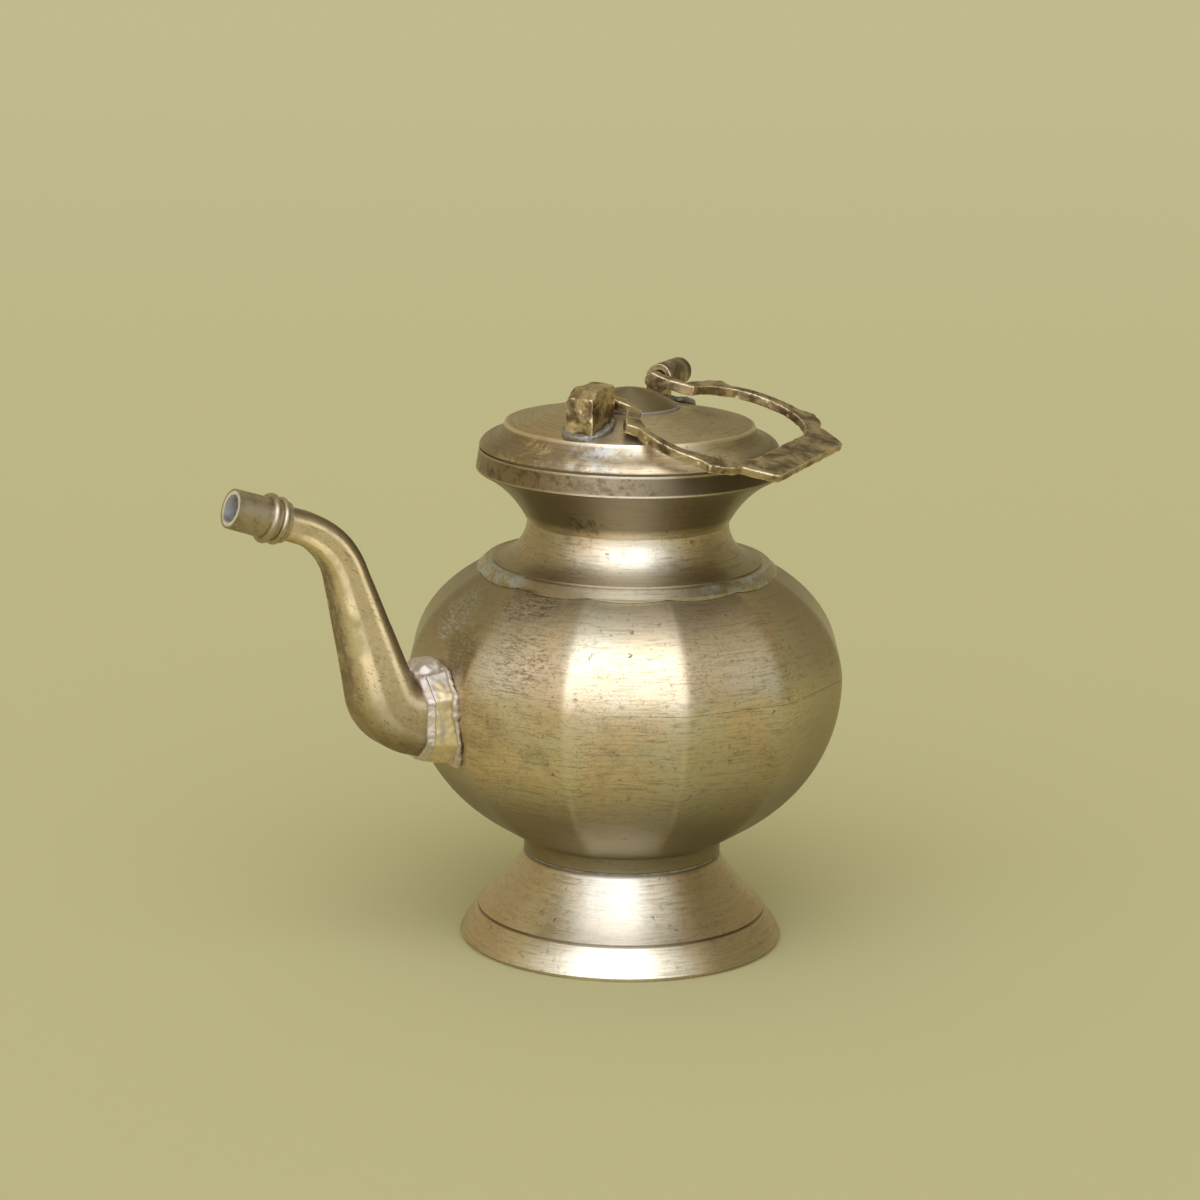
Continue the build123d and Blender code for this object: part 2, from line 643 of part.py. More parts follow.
def bail_handle():
    """Flat cast handle with two round pins that turn in the lugs."""
    half = handle_half_plan()
    plan = half + mirror(half, Plane.YZ)
    side_view = extrude(Plane.YZ * handle_profile(), amount=2 * LOOP_ACROSS, both=True)
    bar = extrude(plan, amount=GRIP_REACH, both=True) & side_view
    arm_out = LUG_REACH - LUG_LENGTH / 2 - ARM_SIDE_GAP
    for side in (1, -1):
        start = Plane(origin=(side * (arm_out - ARM_WIDTH / 2), 0, 0), z_dir=(side, 0, 0))
        bar += extrude(start * Circle(PIN_RADIUS), amount=ARM_WIDTH / 2 + PIN_LENGTH)
    return BAIL_TURN * handle_frame() * bar


def build():
    """Makes every piece of the pot, by name."""
    ring = level_slice(BASE_Z, BASE_Z + BASE_RING_HEIGHT) & Cylinder(BASE_RING_RADIUS, 4 * WIDEST_Z)
    globe = globe_envelope() + ring
    shell = globe - globe_cavity() - spout_hole()
    tube, tube_bore = spout_solids()
    collar = collar_block()
    root_solder = spout_root_solder(globe, collar, tube)
    nozzle = spout_nozzle()
    ferrule = raised_ring(NOZZLE_TIP_RADIUS, FERRULE_RADIUS, FERRULE_WIDTH, FERRULE_STATION)
    neck = neck_collar()
    lid = lid_cap()
    front = front_lug(lid)
    rear = rear_lug(lid)
    seam_low = SEAM_Z - BRAZE_GAP / 2
    seam_high = SEAM_Z + BRAZE_GAP / 2
    return {
        "foot_pedestal": foot_pedestal(),
        "foot_solder_seam": foot_solder_seam(),
        "lower_bowl": shell - level_slice(seam_low, RIM_Z),
        "upper_bowl": shell - level_slice(0, seam_high),
        "body_braze_seam": shell & level_slice(seam_low, seam_high),
        "neck_collar": neck,
        "neck_solder_seam": neck_solder_seam(neck),
        "spout_tube": tube - tube_bore - globe,
        "spout_collar": collar - globe - tube,
        "spout_root_solder": root_solder,
        "spout_neck_solder": spout_neck_solder(tube, root_solder),
        "spout_nozzle": nozzle,
        "spout_ferrule": ferrule - nozzle,
        "lid_cap": lid,
        "lid_dome": lid_dome(),
        "dome_solder_seam": dome_solder_seam(lid),
        "front_lug": front,
        "rear_lug": rear,
        "front_lug_solder": lug_solder(-1, front),
        "rear_lug_solder": lug_solder(1, rear),
        "lid_washer": lid_washer(),
        "bail_handle": bail_handle(),
    }


for name, solid in build().items():
    export_step(solid, f"parts/{name}.step")
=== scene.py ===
import math

import bpy
from mathutils import Euler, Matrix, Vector, noise


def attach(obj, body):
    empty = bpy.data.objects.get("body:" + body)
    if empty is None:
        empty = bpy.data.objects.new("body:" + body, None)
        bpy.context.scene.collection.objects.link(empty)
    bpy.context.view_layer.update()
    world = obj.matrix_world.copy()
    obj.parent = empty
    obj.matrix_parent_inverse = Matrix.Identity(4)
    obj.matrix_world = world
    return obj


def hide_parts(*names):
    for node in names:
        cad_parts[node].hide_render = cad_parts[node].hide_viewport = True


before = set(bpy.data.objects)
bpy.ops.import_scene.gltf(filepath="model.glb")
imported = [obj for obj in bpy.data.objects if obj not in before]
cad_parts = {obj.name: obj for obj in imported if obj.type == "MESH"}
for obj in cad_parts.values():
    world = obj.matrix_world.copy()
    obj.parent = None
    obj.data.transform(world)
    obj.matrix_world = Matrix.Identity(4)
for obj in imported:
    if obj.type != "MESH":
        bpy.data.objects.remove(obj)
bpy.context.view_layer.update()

# Sizes are in metres, in the frame of the CAD model: axis +Z, spout along -X
MM = 0.001

# Globe
FACETS = 12
FACET_SHARPNESS = 120
FACET_EDGE_WIDTH = math.radians(1.5)
FACET_BLEND = 3.5 * MM
FACET_COLUMNS = 30
OUTSIDE_STEPS = 110
INSIDE_STEPS = 40
GLOBE_WAVE = 0.06 * MM
GLOBE_WAVE_FINENESS = 70
GLOBE_RADIUS = 55.5 * MM
BASE_RADIUS = 25.6 * MM
FACET_FOOT_RADIUS = 26.0 * MM
BASE_Z = 23.8 * MM
BASE_TOP_Z = 27.8 * MM
BASE_ROWS_Z = (BASE_Z, BASE_Z + 0.3 * MM, BASE_TOP_Z - 0.4 * MM)
WIDEST_Z = 72.0 * MM
SHOULDER_RADIUS = 34.0 * MM
SHOULDER_Z = 100.2 * MM
SEAM_Z = 73.2 * MM
SEAM_HALF_WIDTH = 0.08 * MM
GLOBE_WALL = 2.2 * MM
GLOBE_FLOOR = 3.4 * MM
GLOBE_FLOOR_HOLE_RADIUS = 0.5 * MM

# Spout: the corners of its route are in millimetres
SPOUT_CORNERS = [(-52.5, 66.4), (-68.6, 66.4), (-83.6, 114.2), (-97.3, 118.8)]
SPOUT_ELBOW_RADIUS = 10.2 * MM
SPOUT_CROOK_RADIUS = 20.0 * MM
SPOUT_SPACING = 0.7 * MM
SPOUT_ROOT_WIDTH = 19.6 * MM
SPOUT_END_WIDTH = 8.2 * MM
SPOUT_TAPER_START = 0.12
SPOUT_TAPER_CURVE = 1.5
SPOUT_SIDES = 8
SPOUT_SIDE_COLUMNS = 14
SPOUT_CORNER_REACH = 1.075
SPOUT_SHARPNESS = 26
SPOUT_WALL = 1.5 * MM
SPOUT_WAVE = 0.12 * MM
SPOUT_WAVE_FINENESS = 110
SPOUT_EDGE_WIDTH = math.radians(9)
# Ridge of the spout that carries a painted highlight: its angle round the section and its width
SPOUT_RIDGE = math.radians(149)
SPOUT_RIDGE_WIDTH = math.radians(17)

# Nozzle: a point on its axis in millimetres, the way that it heads, and the edge of its tinned inside
NOZZLE_START = (-97.3, 0.0, 118.8)
NOZZLE_HEADING = (-0.948, 0.0, 0.3183)
NOZZLE_INSIDE = (4.7 * MM, 4.2 * MM)

# Heights and radii where the turned pieces have edges and lines
FOOT_GROOVE_Z = 8.2 * MM
FOOT_TOP_Z = 23.2 * MM
WAIST_Z = 111.0 * MM
RIM_Z = 123.9 * MM
RIM_TOP_Z = 129.6 * MM
PLATE_RADIUS = 31.9 * MM
PLATE_Z = 136.3 * MM
DOME_EDGE = (13.0 * MM, 12.0 * MM)

# Line of the handle's hinge, and the level direction across it
HINGE_TURN = math.radians(34.0)
HINGE_ALONG = Vector((math.cos(HINGE_TURN), math.sin(HINGE_TURN), 0))
HINGE_ACROSS = Vector((math.sin(HINGE_TURN), -math.cos(HINGE_TURN), 0))

# Front lug: the middle of its rounded top, its half width, and the slope at its outer end
LUG_TOP_MIDDLE_Z = 145.26 * MM
LUG_HALF_WIDTH = 3.9 * MM
LUG_SQUARENESS = 5
LUG_END = 29.5 * MM
LUG_SLOPE_LENGTH = 4.0 * MM
LUG_SLOPE = 0.6

# Solder: the pads under the lugs, and the lump on top of the spout's collar
PAD_REACH = 23.9 * MM
PAD_HALF_LENGTH = 7.4 * MM
PAD_HALF_WIDTH = 5.7 * MM
PAD_SPREAD = 1.06
LUMP_Z = 77.5 * MM
LUMP_START_X = -66.0 * MM
LUMP_LENGTH = 9 * MM
LUMP_SINK = 0.8
LUMP_SINK_LESS_AT_GLOBE = 0.5

# Colours of the brass, of what has settled on it, and of the painted shade and painted highlights on it
BRASS = (0.77, 0.69, 0.52, 1)
WARM_BRASS = (0.8, 0.625, 0.41, 1)
POLISHED = (0.97, 0.86, 0.62, 1)
FILM = (0.40, 0.335, 0.215, 1)
DARK_FILM = (0.25, 0.205, 0.125, 1)
BROWN = (0.25, 0.18, 0.115, 1)
TARNISH = (0.085, 0.066, 0.045, 1)
GLOBE_LOW_SHADE = (0.19, 0.155, 0.09, 1)
FOOT_TAN_AND_SHADE = (0.46, 0.35, 0.225, 1)
FOOT_HIGHLIGHT = (0.93, 0.88, 0.75, 1)
NECK_HIGHLIGHT = (0.92, 0.86, 0.72, 1)
WAIST_SHADE = (0.15, 0.12, 0.065, 1)
RIM_FILM = (0.27, 0.2, 0.115, 1)
PLATE_FILM = (0.33, 0.26, 0.145, 1)
DOME_FILM = (0.21, 0.16, 0.085, 1)
SPOUT_GOLD = (0.63, 0.5, 0.25, 1)
SPOUT_LOW_SHADE = (0.36, 0.275, 0.15, 1)
SPOUT_UNDER_SHADE = (0.22, 0.165, 0.095, 1)
SPOUT_INNER_SHADE = (0.2, 0.155, 0.095, 1)
FILE_FLECKS = (0.22, 0.135, 0.075, 1)
COLLAR_GOLD = (0.8, 0.65, 0.35, 1)
CAST_DULL = (0.15, 0.11, 0.062, 1)
CAST_BRIGHT = (0.52, 0.415, 0.25, 1)
CAST_EDGES = (0.9, 0.74, 0.48, 1)
LUG_DULL = (0.2, 0.145, 0.078, 1)
LUG_BRIGHT = (0.7, 0.54, 0.3, 1)

# Colours of solder, tin, leather and paper; the tin in the nozzle's mouth and the far paper are painted paler
# as painted light
TIN = (0.66, 0.68, 0.71, 1)
BLUE_TIN = (0.78, 0.84, 0.92, 1)
GREY_TIN = (0.56, 0.6, 0.67, 1)
LIT_TIN = (0.95, 0.94, 0.92, 1)
SMEARED_SOLDER = (0.6, 0.53, 0.48, 1)
BRASSY_SOLDER = (0.27, 0.21, 0.115, 1)
BEAD_GREY = (0.6, 0.54, 0.48, 1)
BEAD_PINK = (0.7, 0.59, 0.49, 1)
PAD_GREY = (0.36, 0.35, 0.32, 1)
PAD_BROWN = (0.28, 0.235, 0.175, 1)
LEATHER_DARK = (0.16, 0.12, 0.07, 1)
LEATHER_LIGHT = (0.3, 0.235, 0.14, 1)
PAPER_NEAR = (0.545, 0.5, 0.262, 1)
PAPER_FAR_LIT = (0.59, 0.546, 0.318, 1)
PAPER_FIBRE = (0.72, 0.68, 0.45, 1)

# Heights where coats, painted shade and painted highlights of the globe, the spout and the collar begin and
# where they are full
GLOBE_RIGHT_SHADE = (76 * MM, 58 * MM)
GLOBE_LOW_SHADE_HEIGHTS = (60 * MM, 40 * MM)
GLOBE_HIGH_COAT = (86 * MM, 97 * MM)
GLOBE_LEFT_COAT = (74 * MM, 90 * MM)
GLOBE_WORN_EDGE_HIGHLIGHTS = (34 * MM, 56 * MM)
SPOUT_LOW_SHADE_HEIGHTS = (84 * MM, 62 * MM)
SPOUT_UNDER_SHADE_HEIGHTS = (67 * MM, 59 * MM)
COLLAR_SMEARS = (69 * MM, 77 * MM)

# Stains: the middle and the size in millimetres, then the raggedness of the edge
LEFT_STAIN = ((-45, -26, 85), 13, 0.9)
SPOUT_STAIN = ((-52, -6, 84), 9, 1.2)
SHOULDER_STAIN = ((-36, -17.5, 96.5), 9, 1.1)
HIGH_SPATTER = ((-45.5, 3, 92), 8, 1.2)
LOW_SPATTER = ((-49.5, 4, 87), 5.5, 1.2)
NECK_STAIN = ((-22.5, -15, 115.5), 5, 1.4)
LID_SPLASH = ((-24, -26, 134), 10, 1.4)
LID_SPLASH_LIMIT = ((-22, -29, 133), 13, 0.8)

# Floor: half its width, and the depths between which the paper is painted paler as painted light
FLOOR_HALF_WIDTH = 7.0
PAPER_LIT_DEPTH = (-0.3, 3.0)

# Soft window above the camera with a brighter core, and a dim window behind the pot. Each has its reach to
# the sides as a share, and its lower and upper ends in degrees from the level front over the top.
WINDOW_MIDDLE = -0.04
WINDOW_EDGE = (1.04, 0.25)
WINDOW_LOW = (-10, 12)
WINDOW_HIGH = (84, 58)
WINDOW_LIGHT = (1.8, 1.9, 2.1, 1)
CORE_EDGE = (0.42, 0.18)
CORE_LOW = (30, 42)
CORE_HIGH = (72, 58)
CORE_LIGHT = (3.0, 3.1, 3.3, 1)
REAR_WINDOW_EDGE = (0.6, 0.3)
REAR_WINDOW_LOW = (148, 132)
REAR_WINDOW_HIGH = (98, 112)
REAR_WINDOW_LIGHT = (0.64, 0.59, 0.42, 1)

# Room round the pot
ROOM_LEFT = (0.53, 0.46, 0.285, 1)
ROOM_RIGHT = (0.32, 0.29, 0.175, 1)
ROOM_TOP = (0.55, 0.52, 0.42, 1)
ROOM_TOP_START = 0.75

# Camera at the photograph's place
CAMERA_PLACE = (-0.48696, -0.82978, 0.31161)
CAMERA_TURN = math.radians(-30.0)
CAMERA_DOWN = math.radians(12.994)
CAMERA_ROLL = math.radians(1.015)
CAMERA_LENS = 114.87
CAMERA_SENSOR = 36.0


def facing(azimuth):
    """Level direction at an angle to the right of the camera's side of the pot, in degrees."""
    around = CAMERA_TURN + math.radians(azimuth)
    return Vector((math.sin(around), -math.cos(around), 0))


# Mesh helpers


def link(name, mesh, body, replaced):
    """Puts a mesh in the scene as a piece of the pot that stands for some CAD nodes."""
    piece = bpy.data.objects.new(name, mesh)
    bpy.context.scene.collection.objects.link(piece)
    for polygon in mesh.polygons:
        polygon.use_smooth = True
    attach(piece, body)
    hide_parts(*replaced)
    return piece


def ring_faces(rows, count):
    """Quads between rows of points that each go once round, with the last row joined to the first."""
    faces = []
    for row in range(rows):
        low, high = row * count, (row + 1) % rows * count
        for column in range(count):
            after = (column + 1) % count
            faces.append((low + column, low + after, high + after, high + column))
    return faces


def grid_mesh(name, rows, marks):
    """Mesh from rows of points that each go once round, with named marks at each point."""
    mesh = bpy.data.meshes.new(name)
    points = [point for row in rows for point in row]
    mesh.from_pydata(points, [], ring_faces(len(rows), len(rows[0])))
    for mark, values in marks.items():
        layer = mesh.attributes.new(mark, "FLOAT", "POINT")
        layer.data.foreach_set("value", [value for row in values for value in row])
    return mesh


def flat_sided(angle, sides, sharpness, corner_reach=1.0):
    """Radius of a softened polygon; every second side lies at the corner reach, the others at 1."""
    total = 0.0
    for side in range(sides):
        reach = corner_reach if side % 2 else 1.0
        total += (max(0.0, math.cos(angle - side * math.tau / sides)) / reach) ** sharpness
    return total ** (-1 / sharpness)


def edge_nearness(angle, sides, width):
    """How near an angle is to a polygon's corner: 1 on it, 0 from the given width on."""
    step = math.tau / sides
    away = abs((angle / step) % 1.0 - 0.5) * step
    return max(0.0, 1 - away / width)


# Globe


def oval_radius(z, radius, lower, upper):
    """Radius of an oval with its own half height below and above its widest level."""
    share = (z - WIDEST_Z) / (upper if z > WIDEST_Z else lower)
    return radius * math.sqrt(max(0.0, 1 - share**2))


def level_row(radius, z, angles):
    """Round row of points at one height."""
    return [(radius * math.cos(angle), radius * math.sin(angle), z) for angle in angles]


def outside_rows(angles, lower, upper):
    """Rows of the globe's faceted outside, from base ring to shoulder."""
    facets = [flat_sided(angle, FACETS, FACET_SHARPNESS) for angle in angles]
    rows = []
    for index in range(OUTSIDE_STEPS + 1):
        z = BASE_TOP_Z + (SHOULDER_Z - BASE_TOP_Z) * index / OUTSIDE_STEPS
        blend = min(1.0, (z - BASE_TOP_Z) / FACET_BLEND)
        radius = oval_radius(z, GLOBE_RADIUS, lower, upper)
        row = []
        for angle, facet in zip(angles, facets):
            reach = radius * (1 + (facet - 1) * blend)
            point = Vector((reach * math.cos(angle), reach * math.sin(angle), z))
            wave = 1 + GLOBE_WAVE * noise.noise(point * GLOBE_WAVE_FINENESS) / reach
            row.append((point.x * wave, point.y * wave, z))
        rows.append(row)
    return rows


def make_globe():
    """The two bowls as one faceted shell with soft facet edges, outside and inside."""
    lower = (WIDEST_Z - BASE_TOP_Z) / math.sqrt(1 - (FACET_FOOT_RADIUS / GLOBE_RADIUS) ** 2)
    upper = (SHOULDER_Z - WIDEST_Z) / math.sqrt(1 - (SHOULDER_RADIUS / GLOBE_RADIUS) ** 2)
    count = FACETS * FACET_COLUMNS
    angles = [index * math.tau / count for index in range(count)]
    floor_z = BASE_Z + GLOBE_FLOOR
    rows = [level_row(BASE_RADIUS, z, angles) for z in BASE_ROWS_Z]
    ring_rows = len(rows)
    rows += outside_rows(angles, lower, upper)
    outer_rows = len(rows)
    for index in range(INSIDE_STEPS + 1):
        z = SHOULDER_Z + (floor_z - SHOULDER_Z) * index / INSIDE_STEPS
        radius = oval_radius(z, GLOBE_RADIUS - GLOBE_WALL, lower - GLOBE_FLOOR, upper - GLOBE_WALL)
        rows.append(level_row(radius, z, angles))
    rows += [level_row(GLOBE_FLOOR_HOLE_RADIUS, z, angles) for z in (floor_z, BASE_Z)]
    on_edge = [edge_nearness(angle, FACETS, FACET_EDGE_WIDTH) for angle in angles]
    plain = [0.0] * count
    edges = [on_edge if ring_rows <= index < outer_rows else plain for index in range(len(rows))]
    mesh = grid_mesh("globe", rows, {"worn": edges})
    return link("globe", mesh, "vessel", ["lower_bowl", "upper_bowl", "body_braze_seam"])


# Spout


def rounded_route(corners, radii, spacing):
    """Points along straight runs whose corners are rounded by arcs, in the spout's upright plane."""
    points = [corners[0]]
    for before, corner, after, radius in zip(corners, corners[1:], corners[2:], radii):
        back = (before - corner).normalized()
        on = (after - corner).normalized()
        half = back.angle(on) / 2
        trim = radius / math.tan(half)
        centre = corner + (back + on).normalized() * (radius / math.sin(half))
        start, end = corner + back * trim, corner + on * trim
        steps = max(2, round((math.pi - 2 * half) * radius / spacing))
        for index in range(steps + 1):
            share = index / steps
            swing = (start - centre).normalized().slerp((end - centre).normalized(), share)
            points.append(centre + swing * radius)
    points.append(corners[-1])
    return evenly_spaced(points, spacing)


def evenly_spaced(points, spacing):
    """The same line with points at even steps."""
    lengths = [0.0]
    for a, b in zip(points, points[1:]):
        lengths.append(lengths[-1] + (b - a).length)
    count = round(lengths[-1] / spacing)
    result, piece = [], 0
    for index in range(count + 1):
        target = lengths[-1] * index / count
        while piece < len(points) - 2 and lengths[piece + 1] < target:
            piece += 1
        span = lengths[piece + 1] - lengths[piece]
        result.append(points[piece].lerp(points[piece + 1], (target - lengths[piece]) / span))
    return result


def spout_width(share):
    """Width of the spout at a share of its length."""
    left = min(1.0, (1 - share) / (1 - SPOUT_TAPER_START))
    return SPOUT_END_WIDTH + (SPOUT_ROOT_WIDTH - SPOUT_END_WIDTH) * left**SPOUT_TAPER_CURVE


def make_spout():
    """Flat-sided spout with cut corners as a tube, outside and inside."""
    corners = [Vector((x, 0, z)) * MM for x, z in SPOUT_CORNERS]
    route = rounded_route(corners, [SPOUT_ELBOW_RADIUS, SPOUT_CROOK_RADIUS], SPOUT_SPACING)
    count = SPOUT_SIDES * SPOUT_SIDE_COLUMNS
    angles = [index * math.tau / count for index in range(count)]
    sections = [flat_sided(angle, SPOUT_SIDES, SPOUT_SHARPNESS, SPOUT_CORNER_REACH) for angle in angles]
    across = Vector((0, 1, 0))
    outside, inside = [], []
    for index, point in enumerate(route):
        ahead = (route[min(index + 1, len(route) - 1)] - route[max(index - 1, 0)]).normalized()
        up = ahead.cross(across)
        half = spout_width(index / (len(route) - 1)) / 2
        outer, inner = [], []
        for angle, section in zip(angles, sections):
            out = across * math.cos(angle) + up * math.sin(angle)
            reach = half * section + SPOUT_WAVE * noise.noise((point + out * half) * SPOUT_WAVE_FINENESS)
            outer.append(point + out * reach)
            inner.append(point + out * (half - SPOUT_WALL))
        outside.append(outer)
        inside.append(inner)
    plain = [[0.0] * count] * len(route)
    on_edge = [edge_nearness(angle, SPOUT_SIDES, SPOUT_EDGE_WIDTH) for angle in angles]
    # Painted highlight: the ridge that faces the light is marked like a worn corner, to be painted bright
    ridge_highlight = [1 - abs(angle - SPOUT_RIDGE) / SPOUT_RIDGE_WIDTH for angle in angles]
    worn = [max(edge, ridge) for edge, ridge in zip(on_edge, ridge_highlight)]
    outer_side = [math.sin(angle) for angle in angles]
    marks = {"worn": [worn] * len(route) + plain, "outer": [outer_side] * len(route) + plain}
    mesh = grid_mesh("spout", outside + inside[::-1], marks)
    return link("spout", mesh, "vessel", ["spout_tube"])


# Cast, hammered and soldered pieces


def softened(node, voxel, softness):
    """Mesh of a CAD node with its edges worn soft."""
    draft = bpy.data.objects.new("draft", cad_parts[node].data.copy())
    bpy.context.scene.collection.objects.link(draft)
    remesh = draft.modifiers.new("remesh", "REMESH")
    remesh.mode = "VOXEL"
    remesh.voxel_size = voxel
    smooth = draft.modifiers.new("smooth", "SMOOTH")
    smooth.iterations = softness
    smooth.factor = 0.5
    graph = bpy.context.evaluated_depsgraph_get()
    mesh = bpy.data.meshes.new_from_object(draft.evaluated_get(graph))
    bpy.data.objects.remove(draft)
    mesh.materials.clear()
    return mesh


def uneven_copy(
    name, node, body, *, voxel, softness, lump, lump_size, grain=0.05, swell=0.0, reshape=None
):
    """Copy of a CAD node with soft edges and an uneven surface; the sizes here are in millimetres."""
    mesh = softened(node, voxel * MM, softness)
    mesh.name = name
    if reshape:
        for vertex in mesh.vertices:
            vertex.co = reshape(vertex.co)
    normals = [vertex.normal.copy() for vertex in mesh.vertices]
    for vertex, normal in zip(mesh.vertices, normals):
        place = vertex.co / (lump_size * MM)
        coarse = noise.fractal(place, 0.6, 2.0, 3)
        fine = noise.noise(place * 5.5)
        vertex.co += normal * (swell + lump * coarse + grain * fine) * MM
    return link(name, mesh, body, [node])


def squared_lug(point):
    """Point of the front lug moved so that its round top is a rounded square with a sloped outer end."""
    side = point.dot(HINGE_ACROSS)
    up = point.z - LUG_TOP_MIDDLE_Z
    moved = point.copy()
    if up > 0:
        squared = (abs(side) ** LUG_SQUARENESS + up**LUG_SQUARENESS) ** (1 / LUG_SQUARENESS)
        grow = math.hypot(side, up) / squared
        moved += HINGE_ACROSS * side * (grow - 1)
        moved.z += up * (grow - 1)
    end = max(0.0, LUG_SLOPE_LENGTH - LUG_END - point.dot(HINGE_ALONG))
    high = max(0.0, (moved.z - LUG_TOP_MIDDLE_Z) / LUG_HALF_WIDTH)
    moved.z -= LUG_SLOPE * end * high
    return moved


def pad_mound(side):
    """Mover that makes a pad an oval mound; the side is -1 for the front pad, 1 for the rear one."""
    middle = HINGE_ALONG * side * PAD_REACH

    def moved(point):
        length = max(-1.0, min(1.0, (point - middle).dot(HINGE_ALONG) / PAD_HALF_LENGTH))
        width = max(-1.0, min(1.0, (point - middle).dot(HINGE_ACROSS) / PAD_HALF_WIDTH))
        grow_length = PAD_SPREAD * math.sqrt(1 - width**2 / 2) - 1
        grow_width = PAD_SPREAD * math.sqrt(1 - length**2 / 2) - 1
        shift_along = HINGE_ALONG * length * PAD_HALF_LENGTH * grow_length
        shift_across = HINGE_ACROSS * width * PAD_HALF_WIDTH * grow_width
        return point + (shift_along + shift_across)

    return moved


def flat_lump(point):
    """Point of the spout's root solder moved so that the lump on top slopes down from globe to spout."""
    rise = max(0.0, point.z - LUMP_Z)
    share = max(0.0, min(1.0, (point.x - LUMP_START_X) / LUMP_LENGTH))
    return point - Vector((0, 0, rise * (LUMP_SINK - LUMP_SINK_LESS_AT_GLOBE * share)))


def make_cast_pieces():
    """Handle and lugs, which are rough castings."""
    handle = uneven_copy(
        "handle", "bail_handle", "handle",
        voxel=0.3, softness=5, lump=0.17, lump_size=5.0, grain=0.04, swell=-0.12,
    )
    front = uneven_copy(
        "lug_front", "front_lug", "lid",
        voxel=0.3, softness=6, lump=0.25, lump_size=5.0, grain=0.06, swell=-0.15, reshape=squared_lug,
    )
    rear = uneven_copy(
        "lug_rear", "rear_lug", "lid",
        voxel=0.22, softness=5, lump=0.08, lump_size=4.0, grain=0.02, swell=-0.06,
    )
    return handle, front, rear


def make_collar():
    """Collar at the spout's root, which is hammered sheet."""
    return uneven_copy(
        "collar", "spout_collar", "vessel",
        voxel=0.35, softness=3, lump=0.25, lump_size=6.0,
    )


def make_beads():
    """Beads of solder beside the spout's collar, of which the root's one has a lump on top."""
    root = uneven_copy(
        "bead_root", "spout_root_solder", "vessel",
        voxel=0.3, softness=14, lump=0.7, lump_size=5.5, grain=0.1, swell=0.3, reshape=flat_lump,
    )
    neck = uneven_copy(
        "bead_spout", "spout_neck_solder", "vessel",
        voxel=0.28, softness=4, lump=0.25, lump_size=3.0, swell=0.3,
    )
    return root, neck


def make_pad(name, node, side):
    """Pad of solder under one lug; the side is -1 for the front pad, 1 for the rear one."""
    return uneven_copy(
        name, node, "lid",
        voxel=0.25, softness=24, lump=0.4, lump_size=4.0, grain=0.06, swell=0.15, reshape=pad_mound(side),
    )


# Materials


class Nodes:
    """Small helper that adds nodes to one node tree."""

    def __init__(self, tree):
        self.tree = tree

    def node(self, kind, inputs=None, **settings):
        """New node with its settings, and with values or links at its inputs."""
        made = self.tree.nodes.new(kind)
        for key, value in settings.items():
            setattr(made, key, value)
        for key, value in (inputs or {}).items():
            self.feed(made.inputs[key], value)
        return made

    def feed(self, socket, value):
        """Links another node's output to a socket, or sets the socket's own value."""
        if isinstance(value, bpy.types.NodeSocket):
            self.tree.links.new(value, socket)
        else:
            socket.default_value = value

    def math(self, operation, a, b=0.0, c=0.0):
        return self.node("ShaderNodeMath", {0: a, 1: b, 2: c}, operation=operation).outputs[0]

    def vector_math(self, operation, *values):
        return self.node("ShaderNodeVectorMath", dict(enumerate(values)), operation=operation).outputs

    def times(self, *values):
        """Product of values."""
        result = values[0]
        for value in values[1:]:
            result = self.math("MULTIPLY", result, value)
        return result

    def most(self, *values):
        """Largest of values."""
        result = values[0]
        for value in values[1:]:
            result = self.math("MAXIMUM", result, value)
        return result

    def split(self, vector):
        return self.node("ShaderNodeSeparateXYZ", {0: vector}).outputs

    def join(self, x, y, z):
        return self.node("ShaderNodeCombineXYZ", {0: x, 1: y, 2: z}).outputs[0]

    def step(self, value, low, high, low_out=0.0, high_out=1.0):
        """Smooth change from one value at the first limit to another at the second."""
        inputs = {"Value": value, "From Min": low, "From Max": high, "To Min": low_out, "To Max": high_out}
        return self.node("ShaderNodeMapRange", inputs, interpolation_type="SMOOTHSTEP").outputs["Result"]

    def band(self, value, low, high, soft):
        """1 between two limits, with soft ends."""
        rise = self.step(value, low - soft, low + soft)
        return self.times(rise, self.step(value, high + soft, high - soft))

    def mix(self, share, a, b):
        """Colour between two others."""
        made = self.node("ShaderNodeMix", data_type="RGBA")
        self.feed(made.inputs["Factor"], share)
        self.feed(made.inputs["A"], a)
        self.feed(made.inputs["B"], b)
        return made.outputs["Result"]


